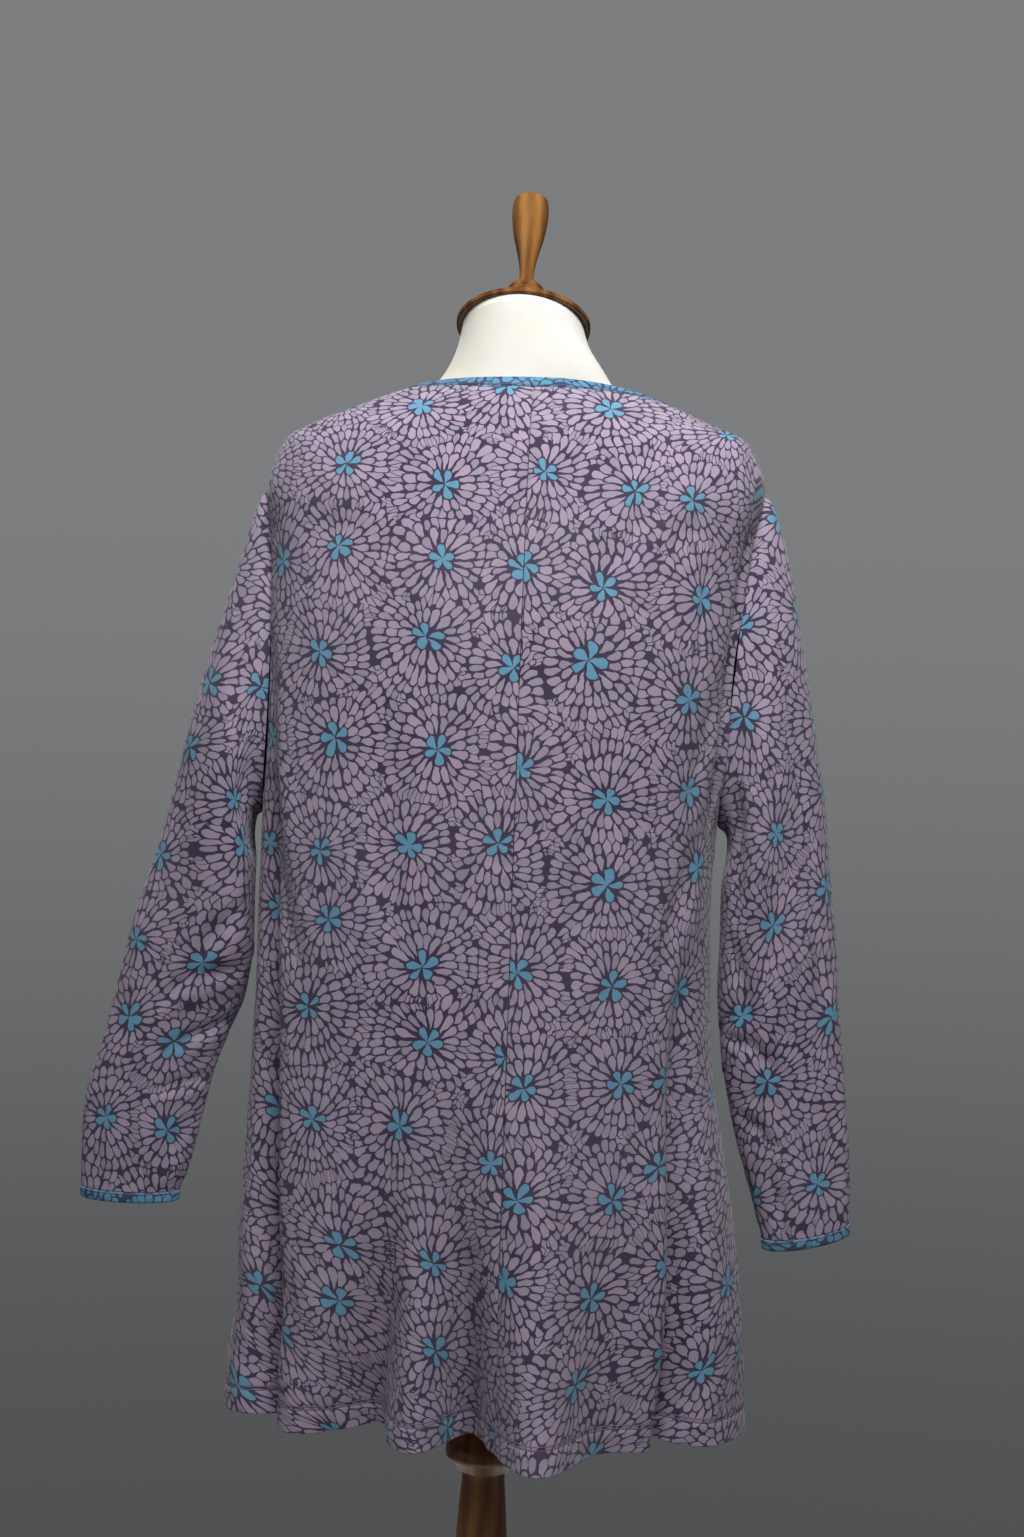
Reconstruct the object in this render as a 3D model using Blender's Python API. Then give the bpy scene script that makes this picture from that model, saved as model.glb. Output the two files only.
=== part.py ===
"""A long-sleeved jersey shift dress on a limbless dress form with a turned wooden stand.

Metres, +Z up. The wearer faces -Y and the wearer's left is +X. The origin is the middle of the
stand's underside. The dress is cut as a left back, a right back, a front and two sleeves, with a
binding at the neck and at each cuff. Its cloth is a wall that hangs from the form's shoulders.
"""

import math

import bmesh
import bpy
import numpy as np

# Cloth
WALL = 0.0015
BINDING_WALL = 0.0024
BINDING_WIDTH = 0.0085
SEAM_GAP = 0.0003

# The dress hangs a little to the wearer's right, so its middle line lies at this x
CENTRE_X = -0.014
HEM_Z = 0.616

# The body of the dress, from the neck edge down to the hem. A row is one closed ring of cloth.
# back_z is the ring's height at the centre back, and every other column follows it down.
SECTION_COLUMNS = (
    "back_z", "left_x", "left_z", "right_x", "right_z", "front_z", "back_y", "front_y", "power",
)
SECTIONS = (
    (1.426, 0.0800, 1.4280, -0.1090, 1.4195, 1.378, 0.062, 0.078, 2.00),
    (1.409, 0.1070, 1.4200, -0.1310, 1.4110, 1.362, 0.074, 0.089, 2.05),
    (1.390, 0.1370, 1.4080, -0.1520, 1.4015, 1.341, 0.084, 0.099, 2.10),
    (1.370, 0.1650, 1.3965, -0.1690, 1.3945, 1.319, 0.091, 0.107, 2.20),
    (1.348, 0.1862, 1.3820, -0.1828, 1.3850, 1.296, 0.096, 0.112, 2.25),
    (1.323, 0.1978, 1.3500, -0.1950, 1.3550, 1.275, 0.100, 0.116, 2.35),
    (1.287, 0.1950, 1.3000, -0.1880, 1.3020, 1.248, 0.104, 0.120, 2.40),
    (1.238, 0.1950, 1.2400, -0.1840, 1.2400, 1.214, 0.108, 0.122, 2.40),
    (1.160, 0.1950, 1.1600, -0.1770, 1.1600, 1.148, 0.110, 0.118, 2.40),
    (1.080, 0.1950, 1.0800, -0.1670, 1.0800, 1.074, 0.110, 0.114, 2.40),
    (0.985, 0.1955, 0.9850, -0.1655, 0.9850, 0.983, 0.108, 0.111, 2.35),
    (0.890, 0.1975, 0.8900, -0.1715, 0.8900, 0.890, 0.106, 0.110, 2.30),
    (0.780, 0.2010, 0.7800, -0.1900, 0.7800, 0.780, 0.105, 0.112, 2.30),
    (0.700, 0.2030, 0.7000, -0.2010, 0.7000, 0.700, 0.105, 0.115, 2.25),
    (HEM_Z, 0.2100, HEM_Z, -0.2045, HEM_Z, HEM_Z, 0.105, 0.120, 2.20),
)

# The hanging folds of the body. angle is in degrees from the centre back, positive to the
# wearer's left, and 180 is the centre front. It is the fold's place at the hem, and drift is how
# far it has moved at its top. A positive depth stands out, a negative one falls in. late is how
# much the fold waits before it opens: 1 opens evenly from its top, 2 mostly near the hem.
FOLD_COLUMNS = ("angle", "drift", "width", "depth", "top_z", "late")
FOLDS = (
    (-7.0, 3.0, 8.5, 0.042, 1.000, 1.7),
    (4.4, 3.0, 5.2, -0.054, 0.900, 1.8),
    (12.0, 4.0, 5.0, 0.014, 0.840, 1.5),
    (28.5, -10.0, 7.0, -0.050, 0.860, 1.6),
    (41.0, -4.0, 6.0, 0.006, 0.800, 1.2),
    (56.5, 14.0, 5.6, -0.046, 1.120, 0.8),
    (-29.0, 5.0, 11.0, -0.012, 0.900, 1.3),
    (-46.0, -12.0, 5.6, -0.044, 1.010, 1.0),
    (102.0, -6.0, 7.0, -0.022, 0.920, 1.2),
    (119.0, -4.0, 8.0, 0.024, 0.980, 1.3),
    (140.0, -5.0, 8.0, -0.034, 0.880, 1.6),
    (159.0, 2.0, 9.0, 0.026, 0.960, 1.5),
    (178.0, 3.0, 8.0, -0.032, 0.860, 1.7),
    (-162.0, 2.0, 8.0, 0.024, 0.940, 1.5),
    (-143.0, 5.0, 8.0, -0.036, 0.880, 1.6),
    (-121.0, 4.0, 8.0, 0.022, 0.960, 1.3),
    (-103.0, 5.0, 7.0, -0.020, 0.900, 1.2),
)

# The armholes, on the body's surface: heights at the centre back of the ring through the top
# and the bottom of the hole, and its half-width in degrees either side of the shoulder line
ARMHOLE_TOP = 1.3190
ARMHOLE_BOTTOM = 1.0850
ARMHOLE_HALF_ANGLE = 16.0
ARMHOLE_STEPS = 10
NECK_STEPS = 36

# The sleeves hang flat and empty. A row is one ring across the sleeve: where it crosses the
# outer fold and the inner one, how deep it is from front to back on each side of its middle,
# where that middle lies, and how far its back edge drops below its front edge.
SLEEVE_COLUMNS = ("outer_x", "outer_z", "inner_x", "inner_z", "half_depth", "mid_y", "back_drop")
LEFT_SLEEVE = (
    (0.1945, 1.3450, 0.1950, 1.0850, 0.037, 0.000, 0.000),
    (0.2065, 1.3310, 0.2010, 1.0810, 0.040, 0.000, 0.000),
    (0.2260, 1.2720, 0.2020, 1.0580, 0.043, -0.001, 0.000),
    (0.2400, 1.2220, 0.2020, 1.0360, 0.043, -0.002, 0.000),
    (0.2550, 1.1680, 0.2020, 1.0100, 0.040, -0.003, 0.000),
    (0.2690, 1.1050, 0.2025, 0.9800, 0.036, -0.005, 0.000),
    (0.2840, 1.0450, 0.2040, 0.9550, 0.031, -0.007, 0.000),
    (0.3020, 0.9900, 0.2100, 0.9300, 0.027, -0.010, 0.000),
    (0.3160, 0.9320, 0.2210, 0.9040, 0.023, -0.013, 0.000),
    (0.3280, 0.8840, 0.2330, 0.8700, 0.020, -0.015, 0.001),
    (0.3380, 0.8480, 0.2410, 0.8360, 0.018, -0.017, 0.002),
    (0.3415, 0.8120, 0.2500, 0.8000, 0.016, -0.018, 0.003),
    (0.3410, 0.7730, 0.2585, 0.7730, 0.014, -0.020, 0.004),
    (0.3405, 0.7642, 0.2590, 0.7645, 0.014, -0.020, 0.004),
)
RIGHT_SLEEVE = (
    (-0.1900, 1.3490, -0.1675, 1.0850, 0.037, 0.000, 0.000),
    (-0.2020, 1.3350, -0.1735, 1.0810, 0.040, 0.000, 0.000),
    (-0.2190, 1.2900, -0.1740, 1.0580, 0.042, -0.001, 0.000),
    (-0.2290, 1.2400, -0.1740, 1.0350, 0.042, -0.002, 0.000),
    (-0.2385, 1.1890, -0.1740, 1.0100, 0.040, -0.003, 0.000),
    (-0.2480, 1.1300, -0.1735, 0.9800, 0.036, -0.004, 0.000),
    (-0.2560, 1.0700, -0.1740, 0.9500, 0.031, -0.005, 0.000),
    (-0.2635, 1.0100, -0.1755, 0.9230, 0.027, -0.006, 0.000),
    (-0.2685, 0.9600, -0.1790, 0.8960, 0.023, -0.007, 0.000),
    (-0.2735, 0.9050, -0.1860, 0.8620, 0.020, -0.008, 0.002),
    (-0.2770, 0.8580, -0.1955, 0.8260, 0.018, -0.009, 0.004),
    (-0.2805, 0.8150, -0.2060, 0.7920, 0.016, -0.010, 0.006),
    (-0.2835, 0.7765, -0.2140, 0.7610, 0.014, -0.010, 0.008),
    (-0.2840, 0.7680, -0.2150, 0.7525, 0.014, -0.010, 0.008),
)
# The rows where the sleeve ends and where its cuff binding ends
SLEEVE_END = 12.0
CUFF_END = 13.0
# The armhole's own outline fades into the sleeve's section over this many rows
ARMHOLE_FADE = 3.0

# How finely the cloth is divided: angles from the centre back where the spacing of the columns
# changes, with the number of columns up to each, and the numbers of rows
BACK_COLUMNS = ((20.0, 7), (50.0, 7), (76.0, 8), (90.0, 2))
FRONT_COLUMNS = 24
YOKE_ROWS = 4
SKIRT_ROWS = 10

# The torso of the form. tilt is the slope of the ring, back edge up, in degrees.
TORSO_COLUMNS = ("level", "half_width", "back_y", "front_y", "power", "tilt", "middle_x")
NECK_TILT = 19.0
TORSO = (
    (0.7000, 0.085, 0.050, 0.052, 2.0, 0.0, 0.0000),
    (0.7080, 0.112, 0.064, 0.066, 2.0, 0.0, 0.0000),
    (0.7350, 0.136, 0.078, 0.078, 2.1, 0.0, 0.0000),
    (0.7800, 0.148, 0.084, 0.084, 2.2, 0.0, 0.0000),
    (0.8400, 0.152, 0.086, 0.086, 2.2, 0.0, 0.0000),
    (0.9000, 0.145, 0.083, 0.086, 2.2, 0.0, 0.0000),
    (0.9800, 0.127, 0.079, 0.084, 2.1, 0.0, 0.0000),
    (1.0500, 0.118, 0.076, 0.084, 2.1, 0.0, 0.0000),
    (1.1200, 0.129, 0.080, 0.092, 2.1, 0.0, 0.0000),
    (1.2000, 0.148, 0.086, 0.104, 2.2, 0.0, 0.0000),
    (1.2700, 0.160, 0.086, 0.098, 2.2, 0.0, 0.0000),
    (1.3200, 0.166, 0.082, 0.088, 2.2, 0.0, 0.0000),
    (1.3560, 0.172, 0.074, 0.078, 2.1, 0.0, 0.0000),
    (1.3760, 0.174, 0.065, 0.070, 1.9, 0.0, 0.0000),
    (1.3900, 0.167, 0.059, 0.062, 1.6, 0.0, 0.0000),
    (1.4040, 0.1415, 0.055, 0.056, 1.4, 0.0, 0.0000),
    (1.4145, 0.1140, 0.053, 0.052, 1.35, 0.0, 0.0000),
    (1.4215, 0.0860, 0.051, 0.050, 1.6, 0.0, 0.0000),
    (1.4275, 0.0730, 0.050, 0.050, 1.9, 1.0, -0.0030),
    (1.4420, 0.0632, 0.050, 0.051, 2.0, 8.0, -0.0042),
    (1.4580, 0.0528, 0.0495, 0.0505, 2.0, 15.0, -0.0010),
    (1.4760, 0.0490, 0.0490, 0.0490, 2.0, NECK_TILT, 0.0000),
)
TORSO_SEGMENTS = 24

# Turned wood, as radius and height down each piece's own axis
SEAT_GAP = 0.0003
CAP_PROFILE = (
    (0.0490, 0.0000), (0.0522, 0.0000), (0.0534, 0.0012), (0.0536, 0.0038), (0.0522, 0.0054),
    (0.0440, 0.0092), (0.0320, 0.0164), (0.0210, 0.0250), (0.0165, 0.0315), (0.0150, 0.0330),
)
FINIAL_PROFILE = (
    (0.0148, 0.0000), (0.0148, 0.0030), (0.0128, 0.0055), (0.0085, 0.0080), (0.0061, 0.0125),
    (0.0058, 0.0185), (0.0068, 0.0275), (0.0092, 0.0395), (0.0122, 0.0525), (0.0141, 0.0645),
    (0.0148, 0.0735), (0.0147, 0.0815), (0.0139, 0.0866), (0.0116, 0.0885),
)
POLE_TOP = 0.7000
POLE_PROFILE = (
    (0.0190, 0.0300), (0.0300, 0.0300), (0.0300, 0.0420), (0.0230, 0.0480), (0.0195, 0.0600),
    (0.0185, 0.1500), (0.0195, 0.2600), (0.0240, 0.2720), (0.0240, 0.2800), (0.0170, 0.2920),
    (0.0175, 0.3300), (0.0225, 0.3900), (0.0238, 0.4350), (0.0224, 0.4800), (0.0200, 0.5180),
    (0.0180, 0.5480), (0.0169, 0.5640), (0.0172, 0.5672), (0.0236, 0.5694), (0.0258, 0.5730),
    (0.0282, 0.5760), (0.0303, 0.5784), (0.0308, 0.5824), (0.0300, 0.5864), (0.0258, 0.5935),
    (0.0210, 0.6040), (0.0172, 0.6200), (0.0160, 0.6400), (0.0160, POLE_TOP),
)
BASE_PROFILE = (
    (0.1700, 0.0000), (0.1740, 0.0040), (0.1740, 0.0130), (0.1690, 0.0170), (0.1500, 0.0210),
    (0.0900, 0.0260), (0.0450, 0.0290), (0.0400, 0.0297),
)
WOOD_SEGMENTS = 24
BASE_SEGMENTS = 36

# Steps over which the cloth's direction is measured: degrees, metres and rows of a sleeve
PROBE_ANGLE = 0.4
PROBE_LEVEL = 0.0015
PROBE_ROW = 0.05
# A line this share of the armhole's size shows which way its inside lies
INSIDE_SHARE = 0.98
# Edges that turn more than this many degrees stay sharp
SHARP_ANGLE = 50.0

# Base colours, linear, with roughness
CLOTH_COLOUR = (0.118, 0.082, 0.132)
BINDING_COLOUR = (0.070, 0.190, 0.290)
FORM_COLOUR = (0.860, 0.830, 0.740)
WOOD_COLOUR = (0.180, 0.062, 0.018)
CLOTH_ROUGHNESS = 0.92
FORM_ROUGHNESS = 0.85
WOOD_ROUGHNESS = 0.22


def clear_scene():
    for obj in list(bpy.data.objects):
        bpy.data.objects.remove(obj, do_unlink=True)


def material(name, colour, roughness):
    made = bpy.data.materials.new(name)
    made.use_nodes = True
    shader = made.node_tree.nodes["Principled BSDF"]
    shader.inputs["Base Color"].default_value = (*colour, 1.0)
    shader.inputs["Roughness"].default_value = roughness
    made.diffuse_color = (*colour, 1.0)
    return made


def columns_of(rows, names):
    """A table's columns by name."""
    return dict(zip(names, np.array(rows, float).T))


def through(keys, values, at):
    """A smooth curve through the points of one column, read at the given keys."""
    if keys[0] > keys[-1]:
        keys, values = keys[::-1], values[::-1]
    slope = np.gradient(values, keys)
    at = np.clip(at, keys[0], keys[-1])
    i = np.clip(np.searchsorted(keys, at) - 1, 0, len(keys) - 2)
    span = keys[i + 1] - keys[i]
    t = (at - keys[i]) / span
    start = (2 * t**3 - 3 * t**2 + 1) * values[i] + (t**3 - 2 * t**2 + t) * span * slope[i]
    end = (3 * t**2 - 2 * t**3) * values[i + 1] + (t**3 - t**2) * span * slope[i + 1]
    return start + end


def ease(t):
    t = np.clip(t, 0.0, 1.0)
    return t * t * (3.0 - 2.0 * t)


def along_line(start, end, share):
    """The value that share of the way from start to end."""
    return start + (end - start) * share


SECTION = columns_of(SECTIONS, SECTION_COLUMNS)
FOLD = columns_of(FOLDS, FOLD_COLUMNS)


def fold_depth(angle, level):
    """How far the folds move the cloth outwards at an angle in degrees and a height."""
    moved = np.zeros_like(level)
    for row in range(len(FOLDS)):
        opened = np.clip((FOLD["top_z"][row] - level) / (FOLD["top_z"][row] - HEM_Z), 0.0, 1.0)
        middle = FOLD["angle"][row] + FOLD["drift"][row] * (1.0 - opened)
        away = (angle - middle + 180.0) % 360.0 - 180.0
        moved += FOLD["depth"][row] * opened ** FOLD["late"][row] * np.exp(
            -((away / FOLD["width"][row]) ** 2)
        )
    return moved


def body_point(angle, level):
    """A point on the outer face of the body: an angle in degrees and the ring's back_z."""
    angle, level = np.broadcast_arrays(np.asarray(angle, float), np.asarray(level, float))
    read = {name: through(SECTION["back_z"], SECTION[name], level) for name in SECTION}
    turn = np.radians(angle)
    sideways, backwards = np.sin(turn), np.cos(turn)
    left, behind = sideways > 0.0, backwards > 0.0
    width = np.where(left, read["left_x"] - CENTRE_X, CENTRE_X - read["right_x"])
    depth = np.where(behind, read["back_y"], read["front_y"])
    side_z = np.where(left, read["left_z"], read["right_z"])
    middle_z = np.where(behind, read["back_z"], read["front_z"])
    bend = 2.0 / read["power"]
    x = CENTRE_X + np.sign(sideways) * width * np.abs(sideways) ** bend
    y = np.sign(backwards) * depth * np.abs(backwards) ** bend
    z = side_z + (middle_z - side_z) * backwards**2
    moved = fold_depth(angle, z)
    return np.stack([x + moved * sideways, y + moved * backwards, z], axis=-1)


def body_normal(angle, level):
    """The outward direction of the body's surface."""
    low = SECTION["back_z"][-1] + PROBE_LEVEL
    level = np.clip(level, low, SECTION["back_z"][0] - PROBE_LEVEL)
    across = body_point(angle + PROBE_ANGLE, level) - body_point(angle - PROBE_ANGLE, level)
    down = body_point(angle, level - PROBE_LEVEL) - body_point(angle, level + PROBE_LEVEL)
    outward = np.cross(across, down)
    outward /= np.linalg.norm(outward, axis=-1, keepdims=True)
    facing = body_point(angle, level) - np.array([CENTRE_X, 0.0, 0.0])
    inwards = np.median((outward * facing)[..., :2].sum(-1)) < 0.0
    return -outward if inwards else outward


def armhole_line(around, shrink=1.0):
    """The armhole as an angle from the side and a level, for angles from its top round the front."""
    middle = (ARMHOLE_TOP + ARMHOLE_BOTTOM) / 2
    half = (ARMHOLE_TOP - ARMHOLE_BOTTOM) / 2
    return ARMHOLE_HALF_ANGLE * shrink * np.sin(around), middle + half * shrink * np.cos(around)


def body_levels():
    """The rings of the panels: down the yoke, down the armhole, then down the skirt."""
    top = SECTION["back_z"][0] - BINDING_WIDTH
    yoke = np.linspace(top, ARMHOLE_TOP, YOKE_ROWS + 1)[:-1]
    hole = armhole_line(np.linspace(0.0, math.pi, ARMHOLE_STEPS + 1))[1]
    skirt = np.linspace(ARMHOLE_BOTTOM, HEM_Z, SKIRT_ROWS + 1)[1:]
    return np.concatenate([yoke, hole, skirt])


def side_allowance(levels):
    """How far a panel's side edge stands back from the side, in degrees, along the armhole."""
    middle = (ARMHOLE_TOP + ARMHOLE_BOTTOM) / 2
    half = (ARMHOLE_TOP - ARMHOLE_BOTTOM) / 2
    reach = np.clip(1.0 - ((levels - middle) / half) ** 2, 0.0, None)
    return ARMHOLE_HALF_ANGLE * np.sqrt(reach)


def trim(grid_angles, levels, edge, inward_sign):
    """Moves one edge column of a panel back along the cloth by half the seam gap."""
    here = body_point(grid_angles[:, edge], levels)
    beside = body_point(grid_angles[:, edge] + inward_sign * PROBE_ANGLE, levels)
    per_degree = np.linalg.norm(beside - here, axis=-1) / PROBE_ANGLE
    grid_angles[:, edge] += inward_sign * (SEAM_GAP / 2) / per_degree


def wall(name, outer, outward, thickness, cloth, closed=False):
    """A closed wall of cloth behind a grid of points, with a rim on each open edge."""
    rows, columns = outer.shape[:2]
    inner = outer - outward * thickness
    mesh = bmesh.new()
    faces = [
        [[mesh.verts.new(point) for point in row] for row in side] for side in (outer, inner)
    ]
    last = columns if closed else columns - 1
    for r in range(rows - 1):
        for c in range(last):
            d = (c + 1) % columns
            for side in faces:
                mesh.faces.new((side[r][c], side[r + 1][c], side[r + 1][d], side[r][d]))
    front, back = faces
    for r in (0, rows - 1):
        for c in range(last):
            d = (c + 1) % columns
            mesh.faces.new((front[r][c], front[r][d], back[r][d], back[r][c]))
    if not closed:
        for c in (0, columns - 1):
            for r in range(rows - 1):
                mesh.faces.new((front[r][c], front[r + 1][c], back[r + 1][c], back[r][c]))
    return finish(name, mesh, cloth)


def finish(name, mesh, surface):
    """Points a closed mesh's faces outwards and makes it an object, shaded smooth."""
    bmesh.ops.recalc_face_normals(mesh, faces=mesh.faces)
    data = bpy.data.meshes.new(name)
    mesh.to_mesh(data)
    mesh.free()
    data.shade_smooth()
    data.set_sharp_from_angle(angle=math.radians(SHARP_ANGLE))
    data.materials.append(surface)
    obj = bpy.data.objects.new(name, data)
    bpy.context.scene.collection.objects.link(obj)
    return obj


def panel(name, angles, cloth, seam_edges):
    """A panel of the body between two edges. angles has one row of angles for each level."""
    levels = body_levels()
    for edge, inward_sign in seam_edges:
        trim(angles, levels, edge, inward_sign)
    grid_levels = np.repeat(levels[:, None], angles.shape[1], axis=1)
    outer = body_point(angles, grid_levels)
    return wall(name, outer, body_normal(angles, grid_levels), WALL, cloth)


def back_panel(name, side, cloth):
    """One half of the back, from the centre seam to the shoulder, armhole and side seam."""
    stops = [0.0]
    for end, count in BACK_COLUMNS:
        stops.extend(np.linspace(stops[-1], end, count + 1)[1:])
    share = np.array(stops) / 90.0
    reach = 90.0 - side_allowance(body_levels())
    angles = side * reach[:, None] * share[None, :]
    return panel(name, angles, cloth, ((0, side), (-1, -side)))


def front_panel(name, cloth):
    """The front, in one piece from the left side round to the right."""
    allowance = side_allowance(body_levels())
    share = np.linspace(0.0, 1.0, FRONT_COLUMNS + 1)
    start = 90.0 + allowance
    end = 270.0 - allowance
    angles = start[:, None] + (end - start)[:, None] * share[None, :]
    return panel(name, angles, cloth, ((0, 1.0), (-1, -1.0)))


def neck_binding(name, cloth):
    """The folded strip round the neck edge, a little thicker than the cloth it ends."""
    angles = np.arange(0.0, 360.0, 360.0 / NECK_STEPS)
    top = SECTION["back_z"][0]
    levels = np.array([top, top - BINDING_WIDTH + SEAM_GAP])
    around, down = np.meshgrid(angles, levels)
    outward = body_normal(around, down)
    outer = body_point(around, down) + outward * (BINDING_WALL - WALL) / 2
    return wall(name, outer, outward, BINDING_WALL, cloth, closed=True)


def armhole_edge(side, around):
    """The seam end of a sleeve, just inside the armhole, and the body's outward direction."""
    tip_angle, tip_level = armhole_line(around)
    in_angle, in_level = armhole_line(around, shrink=INSIDE_SHARE)
    edge = body_point(side * (90.0 + tip_angle), tip_level)
    inside = body_point(side * (90.0 + in_angle), in_level)
    towards = (inside - edge) / np.linalg.norm(inside - edge, axis=-1, keepdims=True)
    outward = body_normal(side * (90.0 + tip_angle), tip_level)
    return edge + towards * SEAM_GAP, outward


def sleeve_ring(table, side, around, row):
    """One ring of a sleeve at a row of its table. around runs from the outer fold by the front."""
    keys = np.arange(len(table["outer_x"]), dtype=float)
    at = {name: float(through(keys, values, row)) for name, values in table.items()}
    outer_fold = np.array([at["outer_x"], at["mid_y"], at["outer_z"]])
    inner_fold = np.array([at["inner_x"], at["mid_y"], at["inner_z"]])
    middle = (outer_fold + inner_fold) / 2
    across = (outer_fold - inner_fold) / 2
    forwards = np.array([0.0, -at["half_depth"], at["back_drop"] / 2])
    section = middle + across * np.cos(around)[:, None] + forwards * np.sin(around)[:, None]
    first = [table[name][0] for name in ("outer_x", "outer_z", "inner_x", "inner_z")]
    start = np.array([(first[0] + first[2]) / 2, 0.0, (first[1] + first[3]) / 2])
    hole = armhole_edge(side, around)[0] + middle - start
    return along_line(hole, section, ease(row / ARMHOLE_FADE))


def sleeve_grid(table, side, rows, steps):
    """Rings of a sleeve with their outward directions."""
    around = np.linspace(0.0, 2 * math.pi, steps, endpoint=False)
    rings = np.stack([sleeve_ring(table, side, around, row) for row in rows])
    ahead = np.stack([sleeve_ring(table, side, around, row + PROBE_ROW) for row in rows])
    behind = np.stack([sleeve_ring(table, side, around, row - PROBE_ROW) for row in rows])
    beside = np.roll(rings, -1, axis=1) - np.roll(rings, 1, axis=1)
    outward = np.cross(beside, ahead - behind)
    outward /= np.linalg.norm(outward, axis=-1, keepdims=True)
    middle = rings.mean(axis=1, keepdims=True)
    if ((rings - middle) * outward).sum() < 0.0:
        outward = -outward
    return rings, outward


def sleeve(name, table, side, cloth):
    rows = np.array([0.0, 0.5, *np.arange(1.0, SLEEVE_END + 1.0)])
    rings, outward = sleeve_grid(table, side, rows, 2 * ARMHOLE_STEPS)
    around = np.linspace(0.0, 2 * math.pi, 2 * ARMHOLE_STEPS, endpoint=False)
    rings[0], outward[0] = armhole_edge(side, around)
    return wall(name, rings, outward, WALL, cloth, closed=True)


def cuff_binding(name, table, side, cloth):
    """The folded strip round a cuff, just past the end of the sleeve."""
    rings, outward = sleeve_grid(table, side, np.array([SLEEVE_END, CUFF_END]), 2 * ARMHOLE_STEPS)
    down = rings[1] - rings[0]
    rings[0] += SEAM_GAP * down / np.linalg.norm(down, axis=-1, keepdims=True)
    rings += outward * (BINDING_WALL - WALL) / 2
    return wall(name, rings, outward, BINDING_WALL, cloth, closed=True)


def loft(name, rings, surface):
    """A solid through rings of points, closed flat at both ends."""
    mesh = bmesh.new()
    loops = [[mesh.verts.new(point) for point in ring] for ring in rings]
    count = len(loops[0])
    for lower, upper in zip(loops, loops[1:]):
        for c in range(count):
            d = (c + 1) % count
            mesh.faces.new((lower[c], lower[d], upper[d], upper[c]))
    mesh.faces.new(loops[0])
    mesh.faces.new(loops[-1])
    return finish(name, mesh, surface)


def torso(name, surface):
    """The form's torso and neck, smooth and limbless."""
    around = np.linspace(0.0, 2 * math.pi, TORSO_SEGMENTS, endpoint=False)
    sideways, backwards = np.sin(around), np.cos(around)
    rings = []
    for values in TORSO:
        at = dict(zip(TORSO_COLUMNS, values))
        bend = 2.0 / at["power"]
        depth = np.where(backwards > 0.0, at["back_y"], at["front_y"])
        x = at["middle_x"] + np.sign(sideways) * at["half_width"] * np.abs(sideways) ** bend
        y = np.sign(backwards) * depth * np.abs(backwards) ** bend
        z = at["level"] + y * math.tan(math.radians(at["tilt"]))
        rings.append(np.stack([x, y, z], axis=-1))
    return loft(name, rings, surface)


def turned(name, profile, segments, surface, base=(0.0, 0.0, 0.0), tilt=0.0):
    """A turned solid. Its axis leans forwards by tilt degrees from its base point."""
    around = np.linspace(0.0, 2 * math.pi, segments, endpoint=False)
    lean = math.radians(tilt)
    up = np.array([0.0, -math.sin(lean), math.cos(lean)])
    back = np.array([0.0, math.cos(lean), math.sin(lean)])
    side = np.array([1.0, 0.0, 0.0])
    spoke = np.sin(around)[:, None] * side + np.cos(around)[:, None] * back
    rings = [np.array(base) + spoke * radius + up * height for radius, height in profile]
    return loft(name, rings, surface)


def on_neck(height):
    """A point that far up the leaning axis of the neck, above the neck's top."""
    lean = math.radians(NECK_TILT)
    top = TORSO[-1][0]
    return (0.0, -math.sin(lean) * height, top + math.cos(lean) * height)


def lowered(profile, gap):
    """A profile whose top face stands that far below where it was."""
    radius, height = profile[-1]
    return (*profile[:-1], (radius, height - gap))


def build():
    clear_scene()
    jersey = material("printed_jersey", CLOTH_COLOUR, CLOTH_ROUGHNESS)
    binding = material("binding_jersey", BINDING_COLOUR, CLOTH_ROUGHNESS)
    cover = material("form_cover", FORM_COLOUR, FORM_ROUGHNESS)
    wood = material("varnished_wood", WOOD_COLOUR, WOOD_ROUGHNESS)
    left = columns_of(LEFT_SLEEVE, SLEEVE_COLUMNS)
    right = columns_of(RIGHT_SLEEVE, SLEEVE_COLUMNS)

    back_panel("back_left", 1.0, jersey)
    back_panel("back_right", -1.0, jersey)
    front_panel("front", jersey)
    sleeve("sleeve_left", left, 1.0, jersey)
    sleeve("sleeve_right", right, -1.0, jersey)
    neck_binding("neck_binding", binding)
    cuff_binding("cuff_binding_left", left, 1.0, binding)
    cuff_binding("cuff_binding_right", right, -1.0, binding)

    torso("torso", cover)
    cap_height = CAP_PROFILE[-1][1]
    turned("neck_cap", CAP_PROFILE, WOOD_SEGMENTS, wood, on_neck(SEAT_GAP), NECK_TILT)
    finial_seat = on_neck(cap_height + 2 * SEAT_GAP)
    turned("finial", FINIAL_PROFILE, WOOD_SEGMENTS, wood, finial_seat, NECK_TILT)
    turned("pole", lowered(POLE_PROFILE, SEAT_GAP), WOOD_SEGMENTS, wood)
    turned("base", BASE_PROFILE, BASE_SEGMENTS, wood)


build()
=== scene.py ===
import math
from functools import lru_cache

import bmesh
import bpy
import numpy as np
from bpy.props import FloatProperty, FloatVectorProperty, IntProperty, PointerProperty
from mathutils import Matrix, Vector


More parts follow.
